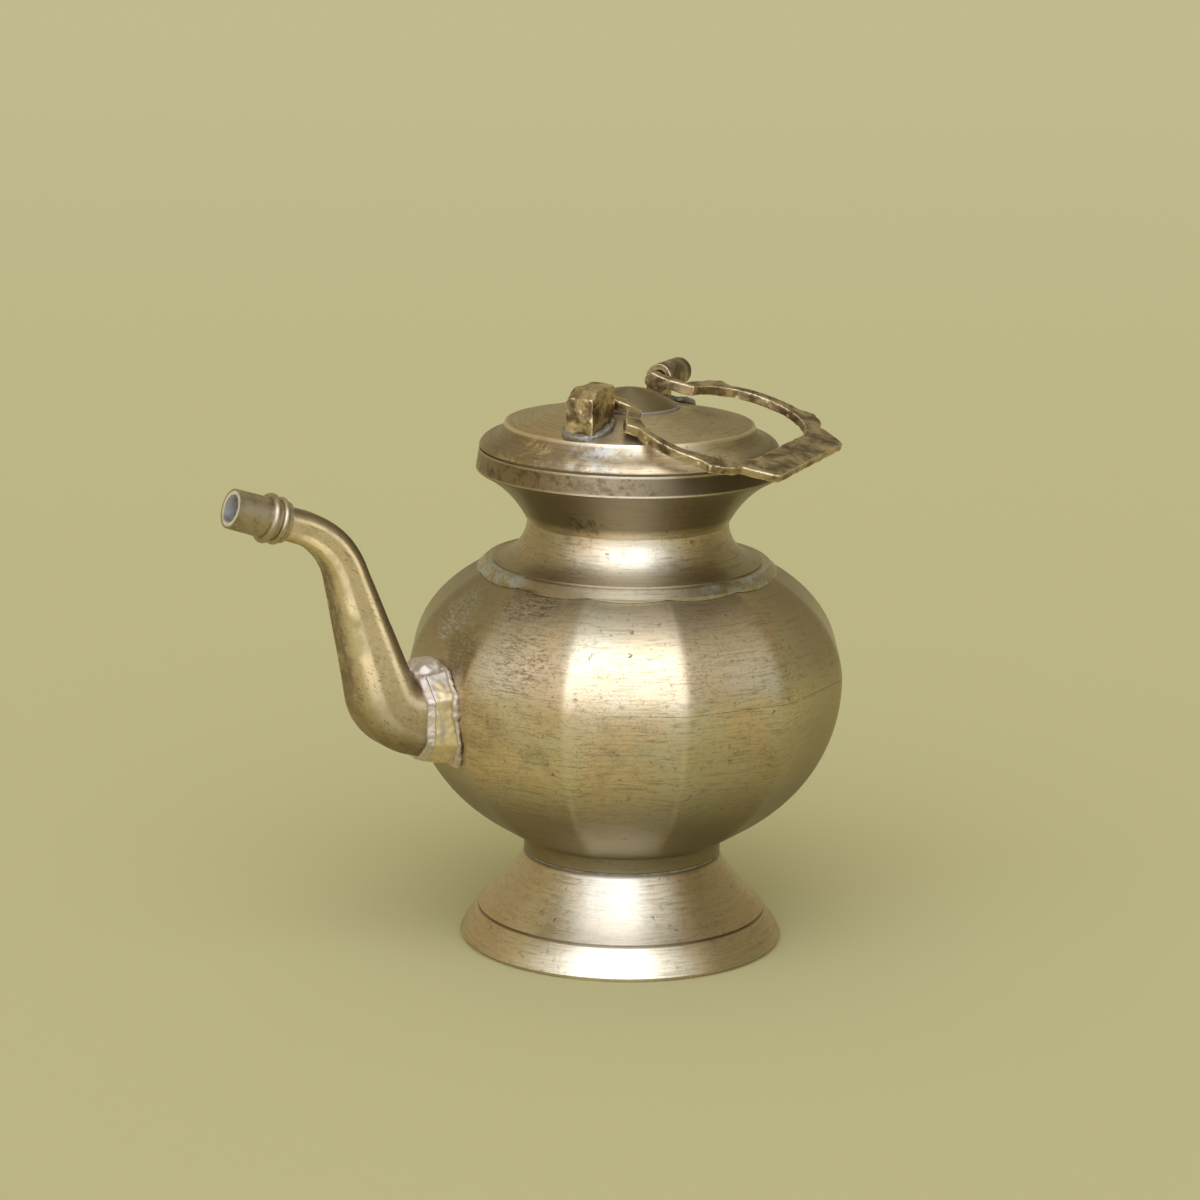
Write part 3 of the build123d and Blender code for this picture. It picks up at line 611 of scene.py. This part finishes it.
class Paint(Nodes):
    """One surface that is built up layer by layer."""

    def __init__(self, name):
        self.material = bpy.data.materials.new(name)
        self.material.use_nodes = True
        super().__init__(self.material.node_tree)
        self.shader = self.tree.nodes["Principled BSDF"]
        self.place = self.node("ShaderNodeTexCoord").outputs["Object"]
        self.x, self.y, self.z = self.split(self.place)
        squares = self.math("ADD", self.math("POWER", self.x, 2.0), self.math("POWER", self.y, 2.0))
        self.radius = self.math("SQRT", squares)
        self.angle = self.math("ARCTAN2", self.y, self.x)
        self.tone = None
        self.rough = None
        self.normal = None

    def noise(self, vector, scale, detail=4.0, roughness=0.55, distortion=0.0):
        inputs = {
            "Vector": vector,
            "Scale": scale,
            "Detail": detail,
            "Roughness": roughness,
            "Distortion": distortion,
        }
        return self.node("ShaderNodeTexNoise", inputs).outputs["Fac"]

    def toward(self, azimuth):
        """How far round a point lies: 1 on the side of the pot at an angle from the camera's, -1 opposite."""
        direction = facing(azimuth)
        dot = self.math("ADD", self.times(self.x, direction.x), self.times(self.y, direction.y))
        return self.math("DIVIDE", dot, self.radius)

    def side(self, azimuth, start, full):
        """Mask on one side of the pot, from where it starts to where it is full; it places coats, painted
        shade and painted highlights.
        """
        return self.step(self.toward(azimuth), start, full)

    def both_sides(self, azimuth, start, full):
        """Mask that is the same in front and behind; it places painted shade towards the sides seen from the
        camera.
        """
        return self.step(self.math("ABSOLUTE", self.toward(azimuth)), start, full)

    def round_marks(self, fineness, run):
        """Coordinates drawn out round the pot's axis, so that noise in them makes turning marks."""
        around = self.times(self.angle, run)
        return self.join(around, self.times(self.z, fineness), self.times(self.radius, fineness))

    def ball(self, centre, size, raggedness):
        """1 about a point, with a ragged edge; the centre and the size are in millimetres."""
        middle = tuple(value * MM for value in centre)
        away = self.vector_math("DISTANCE", self.place, middle)["Value"]
        ragged = self.math("SUBTRACT", self.noise(self.place, 1100 / size, 5, 0.65), 0.5)
        reach = self.math("MULTIPLY_ADD", ragged, 2 * raggedness * size * MM, away)
        return self.step(reach, size * MM, 0.45 * size * MM)

    def spots(self, scale, low, high):
        """Scattered small round spots, of which only some cells have one."""
        shift = self.node("ShaderNodeTexNoise", {"Vector": self.place, "Scale": 3 * scale}).outputs["Color"]
        bent = self.vector_math("MULTIPLY_ADD", shift, (0.9 / scale,) * 3, self.place)[0]
        cells = self.node("ShaderNodeTexVoronoi", {"Vector": bent, "Scale": scale})
        chosen = self.step(self.split(cells.outputs["Color"])["X"], low, high)
        return self.times(chosen, self.step(cells.outputs["Distance"], 0.3, 0.12))

    def mark(self, name):
        """Values that the mesh carries under a name."""
        return self.node("ShaderNodeAttribute", attribute_name=name).outputs["Fac"]

    def lay(self, share, colour, rough=None):
        """Lays another colour, and another roughness, over the surface: a coat, a stain, painted shade or a
        painted highlight.
        """
        self.tone = self.mix(share, self.tone, colour)
        if rough is not None:
            change = self.math("SUBTRACT", rough, self.rough)
            self.rough = self.math("MULTIPLY_ADD", share, change, self.rough)

    def bump(self, height, strength, distance):
        """Adds a bump over the ones before it."""
        inputs = {"Height": height, "Strength": strength, "Distance": distance}
        if self.normal is not None:
            inputs["Normal"] = self.normal
        self.normal = self.node("ShaderNodeBump", inputs).outputs["Normal"]

    def finish(self, metallic=1.0):
        """Feeds the layers to the shader and gives the material."""
        self.feed(self.shader.inputs["Base Color"], self.tone)
        self.feed(self.shader.inputs["Metallic"], metallic)
        self.feed(self.shader.inputs["Roughness"], self.rough)
        self.feed(self.shader.inputs["Normal"], self.normal)
        return self.material


def aged_brass(name, turned=True, film=0.5, mottle=0.5, rough=0.34, brushed=0.75):
    """Paint of worn brass: brushed or filed, with an olive film, streaks and brown specks in clusters."""
    paint = Paint(name)
    place = paint.place
    if turned:
        lines = paint.noise(paint.round_marks(5200, 4.0), 1.0, 5, 0.7)
        streaks = paint.noise(paint.round_marks(1500, 3.4), 1.0, 6, 0.74)
        specks = paint.noise(paint.round_marks(2400, 40.0), 1.0, 5, 0.72)
        paint.shader.inputs["Anisotropic"].default_value = brushed
        paint.shader.inputs["Anisotropic Rotation"].default_value = 0.25
    else:
        lines = paint.noise(place, 1500, 5, 0.7)
        streaks = paint.noise(place, 260, 6, 0.7)
        specks = paint.noise(place, 900, 5, 0.7)
    warm = paint.step(paint.noise(place, 45, 5, 0.6, 0.6), 0.35, 0.65)
    paint.tone = paint.mix(warm, BRASS, WARM_BRASS)
    paint.rough = paint.step(lines, 0.2, 0.8, rough - 0.12, rough + 0.12)
    clouds = paint.noise(place, 40, 6, 0.62, 0.4)
    paint.lay(paint.times(paint.step(clouds, 0.66 - 0.36 * film, 0.74), 0.75), FILM, rough + 0.06)
    paint.lay(paint.step(streaks, 0.46, 0.7, 0.0, 0.65), DARK_FILM, rough + 0.06)
    paint.lay(paint.step(lines, 0.5, 0.75, 0.0, 0.4), DARK_FILM)
    grain = paint.noise(place, 650, 7, 0.75)
    paint.lay(paint.step(grain, 0.54, 0.68, 0.0, 0.7), BROWN, rough + 0.1)
    clusters = paint.step(paint.noise(place, 75, 4, 0.6, 0.5), 0.62 - 0.2 * mottle, 0.74)
    paint.lay(paint.times(clusters, paint.step(specks, 0.48, 0.62), 0.85), BROWN, rough + 0.15)
    paint.bump(lines, 0.16, 0.1 * MM)
    paint.bump(paint.noise(place, 210, 4), 0.12, 0.4 * MM)
    pits = paint.spots(430, 0.94, 0.98)
    paint.lay(paint.times(pits, 0.8), TARNISH, 0.6)
    paint.bump(pits, 0.3, -0.15 * MM)
    return paint


def worn_edges_and_highlights(paint, strength, share=1.0, rough=0.28):
    """Rubs the edges bright that the mesh has marked: wear, and a painted highlight where a mask keeps them
    to the side facing the camera or to the spout's ridge.
    """
    worn = paint.step(paint.mark("worn"), 0.0, 0.9)
    patches = paint.step(paint.noise(paint.place, 90, 4), 0.3, 0.55)
    paint.lay(paint.times(worn, patches, strength, share), POLISHED, rough)


def bowl_brass():
    """Globe: clean towards the front and darker towards the sides as painted shade, darker on the right and
    low down as painted shade, with a painted highlight on the front facet edges, stained round the solder.
    """
    paint = aged_brass("bowl_brass", film=0.3, mottle=0.3, rough=0.36, brushed=0.5)
    specks = paint.noise(paint.round_marks(1900, 30.0), 1.0, 6, 0.74)
    ragged = paint.step(specks, 0.46, 0.6)
    fine = paint.step(paint.noise(paint.round_marks(2800, 70.0), 1.0, 6, 0.8), 0.55, 0.64)
    patches = paint.step(paint.noise(paint.place, 38, 5, 0.65), 0.38, 0.6)
    paint.lay(paint.times(fine, patches, 0.9), BROWN, 0.5)
    # Painted shade: film laid towards the sides as seen from the camera, the same in front and behind, so
    # that only the front stays clean
    paint.lay(paint.times(paint.both_sides(0, 0.86, 0.4), 0.75), FILM, 0.42)
    # Painted shade on the globe's right side, below its widest part
    below = paint.step(paint.z, *GLOBE_RIGHT_SHADE)
    paint.lay(paint.times(paint.side(50, 0.55, 1.0), below, 0.45), DARK_FILM, 0.42)
    paint.lay(paint.times(paint.ball(*LEFT_STAIN), ragged, 0.8), BROWN, 0.45)
    dense = paint.step(specks, 0.36, 0.56)
    paint.lay(paint.times(paint.ball(*SPOUT_STAIN), dense, 0.75), BROWN, 0.45)
    paint.lay(paint.times(paint.ball(*SHOULDER_STAIN), ragged, 0.95), TARNISH, 0.5)
    paint.lay(paint.times(paint.ball(*HIGH_SPATTER), ragged, 0.95), BLUE_TIN, 0.5)
    paint.lay(paint.times(paint.ball(*LOW_SPATTER), ragged, 0.9), BLUE_TIN, 0.5)
    # Painted shade: the globe darker towards its bottom, above the foot
    paint.lay(paint.times(paint.step(paint.z, *GLOBE_LOW_SHADE_HEIGHTS), 0.8), GLOBE_LOW_SHADE, 0.45)
    paint.lay(paint.times(paint.step(paint.z, *GLOBE_HIGH_COAT), 0.45), DARK_FILM, 0.42)
    left_top = paint.step(paint.z, *GLOBE_LEFT_COAT)
    paint.lay(paint.times(paint.side(-80, 0.5, 0.9), left_top, 0.5), DARK_FILM, 0.42)
    # Painted highlight along with wear: facet edges bright only on the side facing the camera, above the
    # lower globe
    above = paint.step(paint.z, *GLOBE_WORN_EDGE_HIGHLIGHTS)
    worn_edges_and_highlights(paint, 0.25, paint.times(paint.side(2, 0.86, 0.96), above))
    seam = paint.band(paint.z, SEAM_Z - SEAM_HALF_WIDTH, SEAM_Z + SEAM_HALF_WIDTH, SEAM_HALF_WIDTH)
    broken = paint.step(specks, 0.36, 0.5)
    paint.lay(paint.times(seam, paint.side(55, 0.3, 0.8), broken, 0.8), TARNISH, 0.6)
    return paint.finish()


def foot_brass():
    """Foot: tan and darker towards the sides as painted shade, with a painted highlight down its front, a
    dark line in the groove and at the solder.
    """
    paint = aged_brass("foot_brass", film=0.1, mottle=0.5, rough=0.3)
    # Tan tone that is also painted shade: darker towards the sides as seen from the camera, the front left
    # clear
    paint.lay(paint.times(paint.both_sides(-8, 0.96, 0.6), 0.6), FOOT_TAN_AND_SHADE, 0.4)
    # Painted highlight: a pale band down the foot's front, towards the camera
    paint.lay(paint.times(paint.side(-4, 0.93, 0.99), 0.6), FOOT_HIGHLIGHT)
    groove = paint.band(paint.z, FOOT_GROOVE_Z - 0.35 * MM, FOOT_GROOVE_Z + 0.1 * MM, 0.15 * MM)
    paint.lay(paint.times(groove, 0.65), TARNISH, 0.5)
    joint = paint.step(paint.z, FOOT_TOP_Z - 1.0 * MM, FOOT_TOP_Z)
    paint.lay(paint.times(joint, 0.75), TARNISH, 0.5)
    return paint.finish()


def neck_brass():
    """Neck: painted shade at the sides and in the waist under the rim, a painted highlight down its front,
    mottled on the rim band with painted shade on its right side, with bright edges.
    """
    paint = aged_brass("neck_brass", film=0.15, mottle=0.3, rough=0.34)
    # Painted shade: darker towards the sides as seen from the camera, the same in front and behind
    sides = paint.both_sides(0, 0.94, 0.6)
    paint.lay(paint.times(sides, 0.55), DARK_FILM, 0.42)
    # Painted highlight: a pale band down the neck's front, towards the camera
    paint.lay(paint.times(paint.side(0, 0.92, 0.99), 0.4), NECK_HIGHLIGHT)
    # Painted shade in the waist under the rim's overhang, deeper towards the sides
    waist = paint.step(paint.z, WAIST_Z + 0.5 * MM, WAIST_Z + 3.0 * MM)
    under_rim = paint.step(paint.z, RIM_Z + 0.6 * MM, RIM_Z + 0.3 * MM)
    shade = paint.step(sides, 0.0, 1.0, 0.74, 0.8)
    paint.lay(paint.times(waist, under_rim, shade), WAIST_SHADE, 0.4)
    skirt = paint.step(paint.z, SHOULDER_Z + 5.0 * MM, SHOULDER_Z)
    paint.lay(paint.times(skirt, 0.5), DARK_FILM, 0.42)
    specks = paint.noise(paint.place, 330, 7, 0.75)
    ragged = paint.step(specks, 0.44, 0.6)
    paint.lay(paint.times(paint.ball(*NECK_STAIN), ragged, 0.85), TARNISH, 0.5)
    band = paint.band(paint.z, RIM_Z + 0.9 * MM, RIM_TOP_Z - 0.5 * MM, 0.25 * MM)
    paint.lay(paint.times(band, 0.85), RIM_FILM, 0.42)
    # Painted shade on the rim band's right side, away from the light, mixed with dark tarnish specks
    shaded_side = paint.times(paint.side(80, -0.1, 0.7), 0.8)
    dark_specks = paint.step(specks, 0.42, 0.66, 0.0, 0.75)
    paint.lay(paint.times(band, paint.most(shaded_side, dark_specks)), TARNISH, 0.45)
    rim = paint.step(paint.z, RIM_Z + 0.1 * MM, RIM_Z + 0.4 * MM)
    edge = paint.step(paint.math("SUBTRACT", rim, band), 0.2, 0.9)
    paint.lay(paint.times(edge, paint.step(specks, 0.35, 0.6, 0.7, 0.3)), FILM, 0.42)
    return paint.finish()


def lid_brass():
    """Lid: satin slope, darker away from its front as painted shade, with smears and a splash of tin, dull
    plate with a bright rim, dark dome.
    """
    paint = aged_brass("lid_brass", film=0.5, mottle=0.4, rough=0.42)
    plate = paint.step(paint.radius, PLATE_RADIUS, PLATE_RADIUS - 1.5 * MM)
    slope = paint.math("SUBTRACT", 1.0, plate)
    # Painted shade: the slope darker towards its sides and back as seen from the camera
    paint.lay(paint.times(paint.side(-5, 0.85, 0.4), slope, 0.75), DARK_FILM, 0.44)
    paint.lay(paint.times(plate, 0.5), PLATE_FILM, 0.4)
    paint.lay(paint.times(paint.step(paint.radius, *DOME_EDGE), 0.85), DOME_FILM, 0.42)
    smears = paint.step(paint.noise(paint.place, 130, 6, 0.7, 0.5), 0.4, 0.55)
    paint.lay(paint.times(paint.side(-38, 0.7, 0.95), slope, smears, 0.7), BROWN, 0.45)
    splash = paint.times(paint.ball(*LID_SPLASH), paint.ball(*LID_SPLASH_LIMIT))
    drops = paint.step(paint.noise(paint.place, 420, 6, 0.75), 0.48, 0.58)
    paint.lay(paint.times(splash, drops, 0.6), TIN, 0.5)
    rim = paint.band(paint.radius, PLATE_RADIUS - 0.5 * MM, PLATE_RADIUS + 0.3 * MM, 0.3 * MM)
    above = paint.step(paint.z, PLATE_Z - 1.0 * MM, PLATE_Z - 0.5 * MM)
    paint.lay(paint.times(rim, above, 0.6), POLISHED, 0.3)
    return paint.finish()


def spout_brass():
    """Spout: filed gold with bright worn corners and a painted highlight along one ridge, small dark file
    flecks, and painted shade on its inner side, lower part and underside.
    """
    paint = aged_brass("spout_brass", turned=False, film=0.1, mottle=0.2, rough=0.5)
    paint.lay(0.6, SPOUT_GOLD)
    # Worn corners, and a painted highlight along the ridge
    worn_edges_and_highlights(paint, 1.0, rough=0.92)
    streaks = paint.step(paint.noise(paint.place, 260, 6, 0.7), 0.3, 0.6, 0.3, 0.95)
    outer = paint.mark("outer")
    paint.lay(paint.times(paint.step(outer, 0.74, 0.95), streaks), BROWN, 0.5)
    # Painted shade: the spout darker towards its lower part
    paint.lay(paint.step(paint.z, *SPOUT_LOW_SHADE_HEIGHTS, 0.0, 0.75), SPOUT_LOW_SHADE, 0.5)
    # Painted shade on the spout's underside, broken by streaks
    below = paint.step(paint.z, *SPOUT_UNDER_SHADE_HEIGHTS)
    paint.lay(paint.times(below, streaks, 0.85), SPOUT_UNDER_SHADE, 0.5)
    # Painted shade along the spout's inner side, which faces away from the light
    paint.lay(paint.step(outer, -0.45, -0.8, 0.0, 0.85), SPOUT_INNER_SHADE, 0.5)
    slant = paint.node("ShaderNodeMapping", {"Vector": paint.place, "Rotation": (0.0, 0.9, 0.0)}).outputs[0]
    x, y, z = paint.split(slant)
    drawn = paint.join(paint.times(x, 2200), paint.times(y, 1300), paint.times(z, 480))
    flecks = paint.noise(drawn, 1.0, 3, 0.6)
    clusters = paint.step(paint.noise(paint.place, 90, 4), 0.42, 0.58)
    paint.lay(paint.times(paint.step(flecks, 0.56, 0.7), clusters, 0.85), FILE_FLECKS, 0.55)
    paint.bump(flecks, 0.2, -0.15 * MM)
    return paint.finish()


def collar_brass():
    """Collar: rubbed gold with smears of solder, mostly near its top."""
    paint = aged_brass("collar_brass", turned=False, film=0.0, mottle=0.3, rough=0.5)
    paint.lay(0.6, COLLAR_GOLD)
    drawn = paint.join(paint.times(paint.x, 500), paint.times(paint.y, 420), paint.times(paint.z, 110))
    smears = paint.noise(drawn, 1.0, 4, 0.6)
    above = paint.step(paint.z, *COLLAR_SMEARS, 0.0, 0.16)
    covered = paint.step(paint.math("ADD", smears, above), 0.58, 0.64, 0.0, 0.9)
    paint.lay(covered, SMEARED_SOLDER, 0.55)
    return paint.finish()


def nozzle_brass():
    """Nozzle: dull brass, tinned inside its mouth, the tin painted near white as painted light in the shaded
    bore.
    """
    paint = aged_brass("nozzle_brass", turned=False, film=0.8, mottle=0.7, rough=0.36)
    paint.lay(0.45, BROWN)
    start = tuple(value * MM for value in NOZZLE_START)
    along = paint.vector_math("SUBTRACT", paint.place, start)[0]
    turned = paint.vector_math("CROSS_PRODUCT", along, NOZZLE_HEADING)[0]
    off_axis = paint.vector_math("LENGTH", turned)["Value"]
    inside = paint.step(off_axis, *NOZZLE_INSIDE)
    ragged = paint.step(paint.noise(paint.place, 420, 5, 0.7), 0.35, 0.6, 0.6, 1.0)
    # Tin lining inside the mouth, painted near white as painted light in the shaded bore
    paint.lay(paint.times(inside, ragged), LIT_TIN, 0.5)
    return paint.finish()


def cast_brass(name, dull, bright):
    """Rough cast brass between two colours, dark in its pits and bright where it is rubbed."""
    paint = Paint(name)
    place = paint.place
    grain = paint.noise(place, 420, 6, 0.65)
    patches = paint.noise(place, 150, 5, 0.6, 0.4)
    paint.tone = paint.mix(paint.step(patches, 0.38, 0.64), dull, bright)
    paint.rough = paint.step(grain, 0.35, 0.7, 0.3, 0.55)
    edges = paint.node("ShaderNodeNewGeometry").outputs["Pointiness"]
    paint.lay(paint.step(edges, 0.505, 0.55, 0.0, 0.85), CAST_EDGES, 0.5)
    paint.lay(paint.step(edges, 0.49, 0.44, 0.0, 0.8), TARNISH, 0.6)
    paint.lay(paint.step(grain, 0.58, 0.72, 0.0, 0.65), TARNISH, 0.6)
    paint.bump(grain, 0.3, 0.25 * MM)
    paint.bump(paint.noise(place, 1300, 3), 0.2, 0.08 * MM)
    return paint.finish()


def solder(name, grey, warm, dark):
    """Dull solder between a grey and a warm colour, with a dark film in its hollows."""
    paint = Paint(name)
    place = paint.place
    cloud = paint.noise(place, 190, 5, 0.6, 0.4)
    paint.tone = paint.mix(paint.step(cloud, 0.4, 0.62), grey, warm)
    paint.rough = paint.step(cloud, 0.35, 0.7, 0.5, 0.68)
    paint.lay(paint.step(paint.noise(place, 480, 5, 0.7), 0.62 - 0.12 * dark, 0.74), BROWN, 0.6)
    paint.bump(paint.noise(place, 800, 5, 0.65), 0.3, 0.15 * MM)
    return paint.finish(0.95)


def neck_solder():
    """Solder round the neck: brassy, less so in front as a painted highlight, with grey tin at the sides."""
    paint = aged_brass("neck_solder", film=0.7, mottle=0.5, rough=0.34)
    # Painted highlight: the dark brassy film is thinner at the front, towards the camera
    paint.lay(paint.step(paint.toward(0), 0.9, 0.99, 0.55, 0.35), BRASSY_SOLDER)
    sides = paint.most(paint.side(-64, 0.9, 0.97), paint.side(52, 0.88, 0.97))
    grey = paint.step(paint.noise(paint.place, 190, 7, 0.75), 0.42, 0.58)
    paint.lay(paint.times(sides, grey, 0.9), GREY_TIN, 0.5)
    paint.bump(paint.noise(paint.place, 500, 4), 0.15, 0.15 * MM)
    return paint.finish()


def leather():
    """Dark oiled leather of the washer."""
    paint = Paint("leather")
    grain = paint.noise(paint.place, 900, 5, 0.6)
    paint.tone = paint.mix(grain, LEATHER_DARK, LEATHER_LIGHT)
    paint.rough = paint.step(grain, 0.3, 0.7, 0.5, 0.8)
    paint.bump(grain, 0.4, 0.1 * MM)
    return paint.finish(0.0)


def paper():
    """Khaki paper, painted paler with depth as painted light, with fine fibres."""
    paint = Paint("paper")
    fibre = paint.noise(paint.place, 700, 4)
    ahead = facing(180)
    depth = paint.math("ADD", paint.times(paint.x, ahead.x), paint.times(paint.y, ahead.y))
    # Painted light: the paper paler farther from the camera, as if more light falls there
    plain = paint.mix(paint.step(depth, *PAPER_LIT_DEPTH), PAPER_NEAR, PAPER_FAR_LIT)
    paint.tone = paint.mix(paint.times(fibre, 0.1), plain, PAPER_FIBRE)
    paint.rough = paint.step(fibre, 0.3, 0.7, 0.85, 0.95)
    paint.bump(fibre, 0.05, 0.1 * MM)
    paint.shader.inputs["Specular IOR Level"].default_value = 0.1
    return paint.finish(0.0)


def wear(material, *pieces):
    """Gives pieces or CAD nodes one material."""
    for piece in pieces:
        piece.data.materials.clear()
        piece.data.materials.append(material)


# The whole pot


def make_pot():
    """Makes the pieces and puts each material on its pieces and CAD nodes."""
    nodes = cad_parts
    collar = make_collar()
    wear(bowl_brass(), make_globe())
    wear(spout_brass(), make_spout())
    wear(collar_brass(), collar)
    handle, front_lug, rear_lug = make_cast_pieces()
    wear(cast_brass("cast_brass", CAST_DULL, CAST_BRIGHT), handle, rear_lug)
    wear(cast_brass("lug_brass", LUG_DULL, LUG_BRIGHT), front_lug)
    wear(solder("bead_solder", BEAD_GREY, BEAD_PINK, 0.4), *make_beads())
    pads = [make_pad("pad_front", "front_lug_solder", -1), make_pad("pad_rear", "rear_lug_solder", 1)]
    seams = [nodes["foot_solder_seam"], nodes["dome_solder_seam"]]
    wear(solder("pad_solder", PAD_GREY, PAD_BROWN, 0.9), *pads, *seams)
    wear(neck_solder(), nodes["neck_solder_seam"])
    wear(foot_brass(), nodes["foot_pedestal"])
    wear(neck_brass(), nodes["neck_collar"])
    wear(lid_brass(), nodes["lid_cap"], nodes["lid_dome"])
    wear(nozzle_brass(), nodes["spout_nozzle"], nodes["spout_ferrule"])
    wear(leather(), nodes["lid_washer"])


# Stage, light and camera


def make_floor():
    """Plain khaki paper that the pot stands on."""
    mesh = bpy.data.meshes.new("floor")
    half = FLOOR_HALF_WIDTH
    corners = [(-half, -half, 0), (half, -half, 0), (half, half, 0), (-half, half, 0)]
    mesh.from_pydata(corners, [], [(0, 1, 2, 3)])
    floor = bpy.data.objects.new("floor", mesh)
    bpy.context.scene.collection.objects.link(floor)
    wear(paper(), floor)


def window_mask(sky, off_middle, tilt, edge, low, high):
    """1 inside a soft window, from its reach to the sides and its lower and upper ends in degrees."""
    ends = [sky.step(tilt, *map(math.radians, end)) for end in (low, high)]
    return sky.times(sky.step(off_middle, *edge), *ends)


def make_light():
    """Plain soft studio light: a khaki room with a large soft window in front and a dim one behind."""
    world = bpy.data.worlds.new("room")
    world.use_nodes = True
    bpy.context.scene.world = world
    sky = Nodes(world.node_tree)
    direction = sky.node("ShaderNodeTexCoord").outputs["Generated"]
    turn = {"Vector": direction, "Angle": -CAMERA_TURN}
    right, back, up = sky.split(sky.node("ShaderNodeVectorRotate", turn, rotation_type="Z_AXIS").outputs[0])
    tilt = sky.math("ARCTAN2", up, sky.math("MULTIPLY", back, -1.0))
    off_middle = sky.math("ABSOLUTE", sky.math("SUBTRACT", right, WINDOW_MIDDLE))
    off_centre = sky.math("ABSOLUTE", right)
    window = window_mask(sky, off_middle, tilt, WINDOW_EDGE, WINDOW_LOW, WINDOW_HIGH)
    core = window_mask(sky, off_middle, tilt, CORE_EDGE, CORE_LOW, CORE_HIGH)
    rear = window_mask(sky, off_centre, tilt, REAR_WINDOW_EDGE, REAR_WINDOW_LOW, REAR_WINDOW_HIGH)
    light = sky.mix(sky.step(right, -1.0, 1.0), ROOM_LEFT, ROOM_RIGHT)
    light = sky.mix(sky.step(up, ROOM_TOP_START, 1.0), light, ROOM_TOP)
    light = sky.mix(rear, light, REAR_WINDOW_LIGHT)
    light = sky.mix(window, light, WINDOW_LIGHT)
    light = sky.mix(core, light, CORE_LIGHT)
    sky.feed(world.node_tree.nodes["Background"].inputs["Color"], light)


def make_camera():
    """Camera at the photograph's place."""
    data = bpy.data.cameras.new("camera")
    data.lens = CAMERA_LENS
    data.sensor_width = CAMERA_SENSOR
    camera = bpy.data.objects.new("camera", data)
    camera.location = CAMERA_PLACE
    turn = Euler((math.pi / 2 - CAMERA_DOWN, 0, CAMERA_TURN)).to_matrix()
    camera.rotation_euler = (turn @ Euler((0, 0, CAMERA_ROLL)).to_matrix()).to_euler()
    bpy.context.scene.collection.objects.link(camera)
    bpy.context.scene.camera = camera


make_pot()
make_floor()
make_light()
make_camera()
bpy.context.scene.view_settings.view_transform = "Standard"
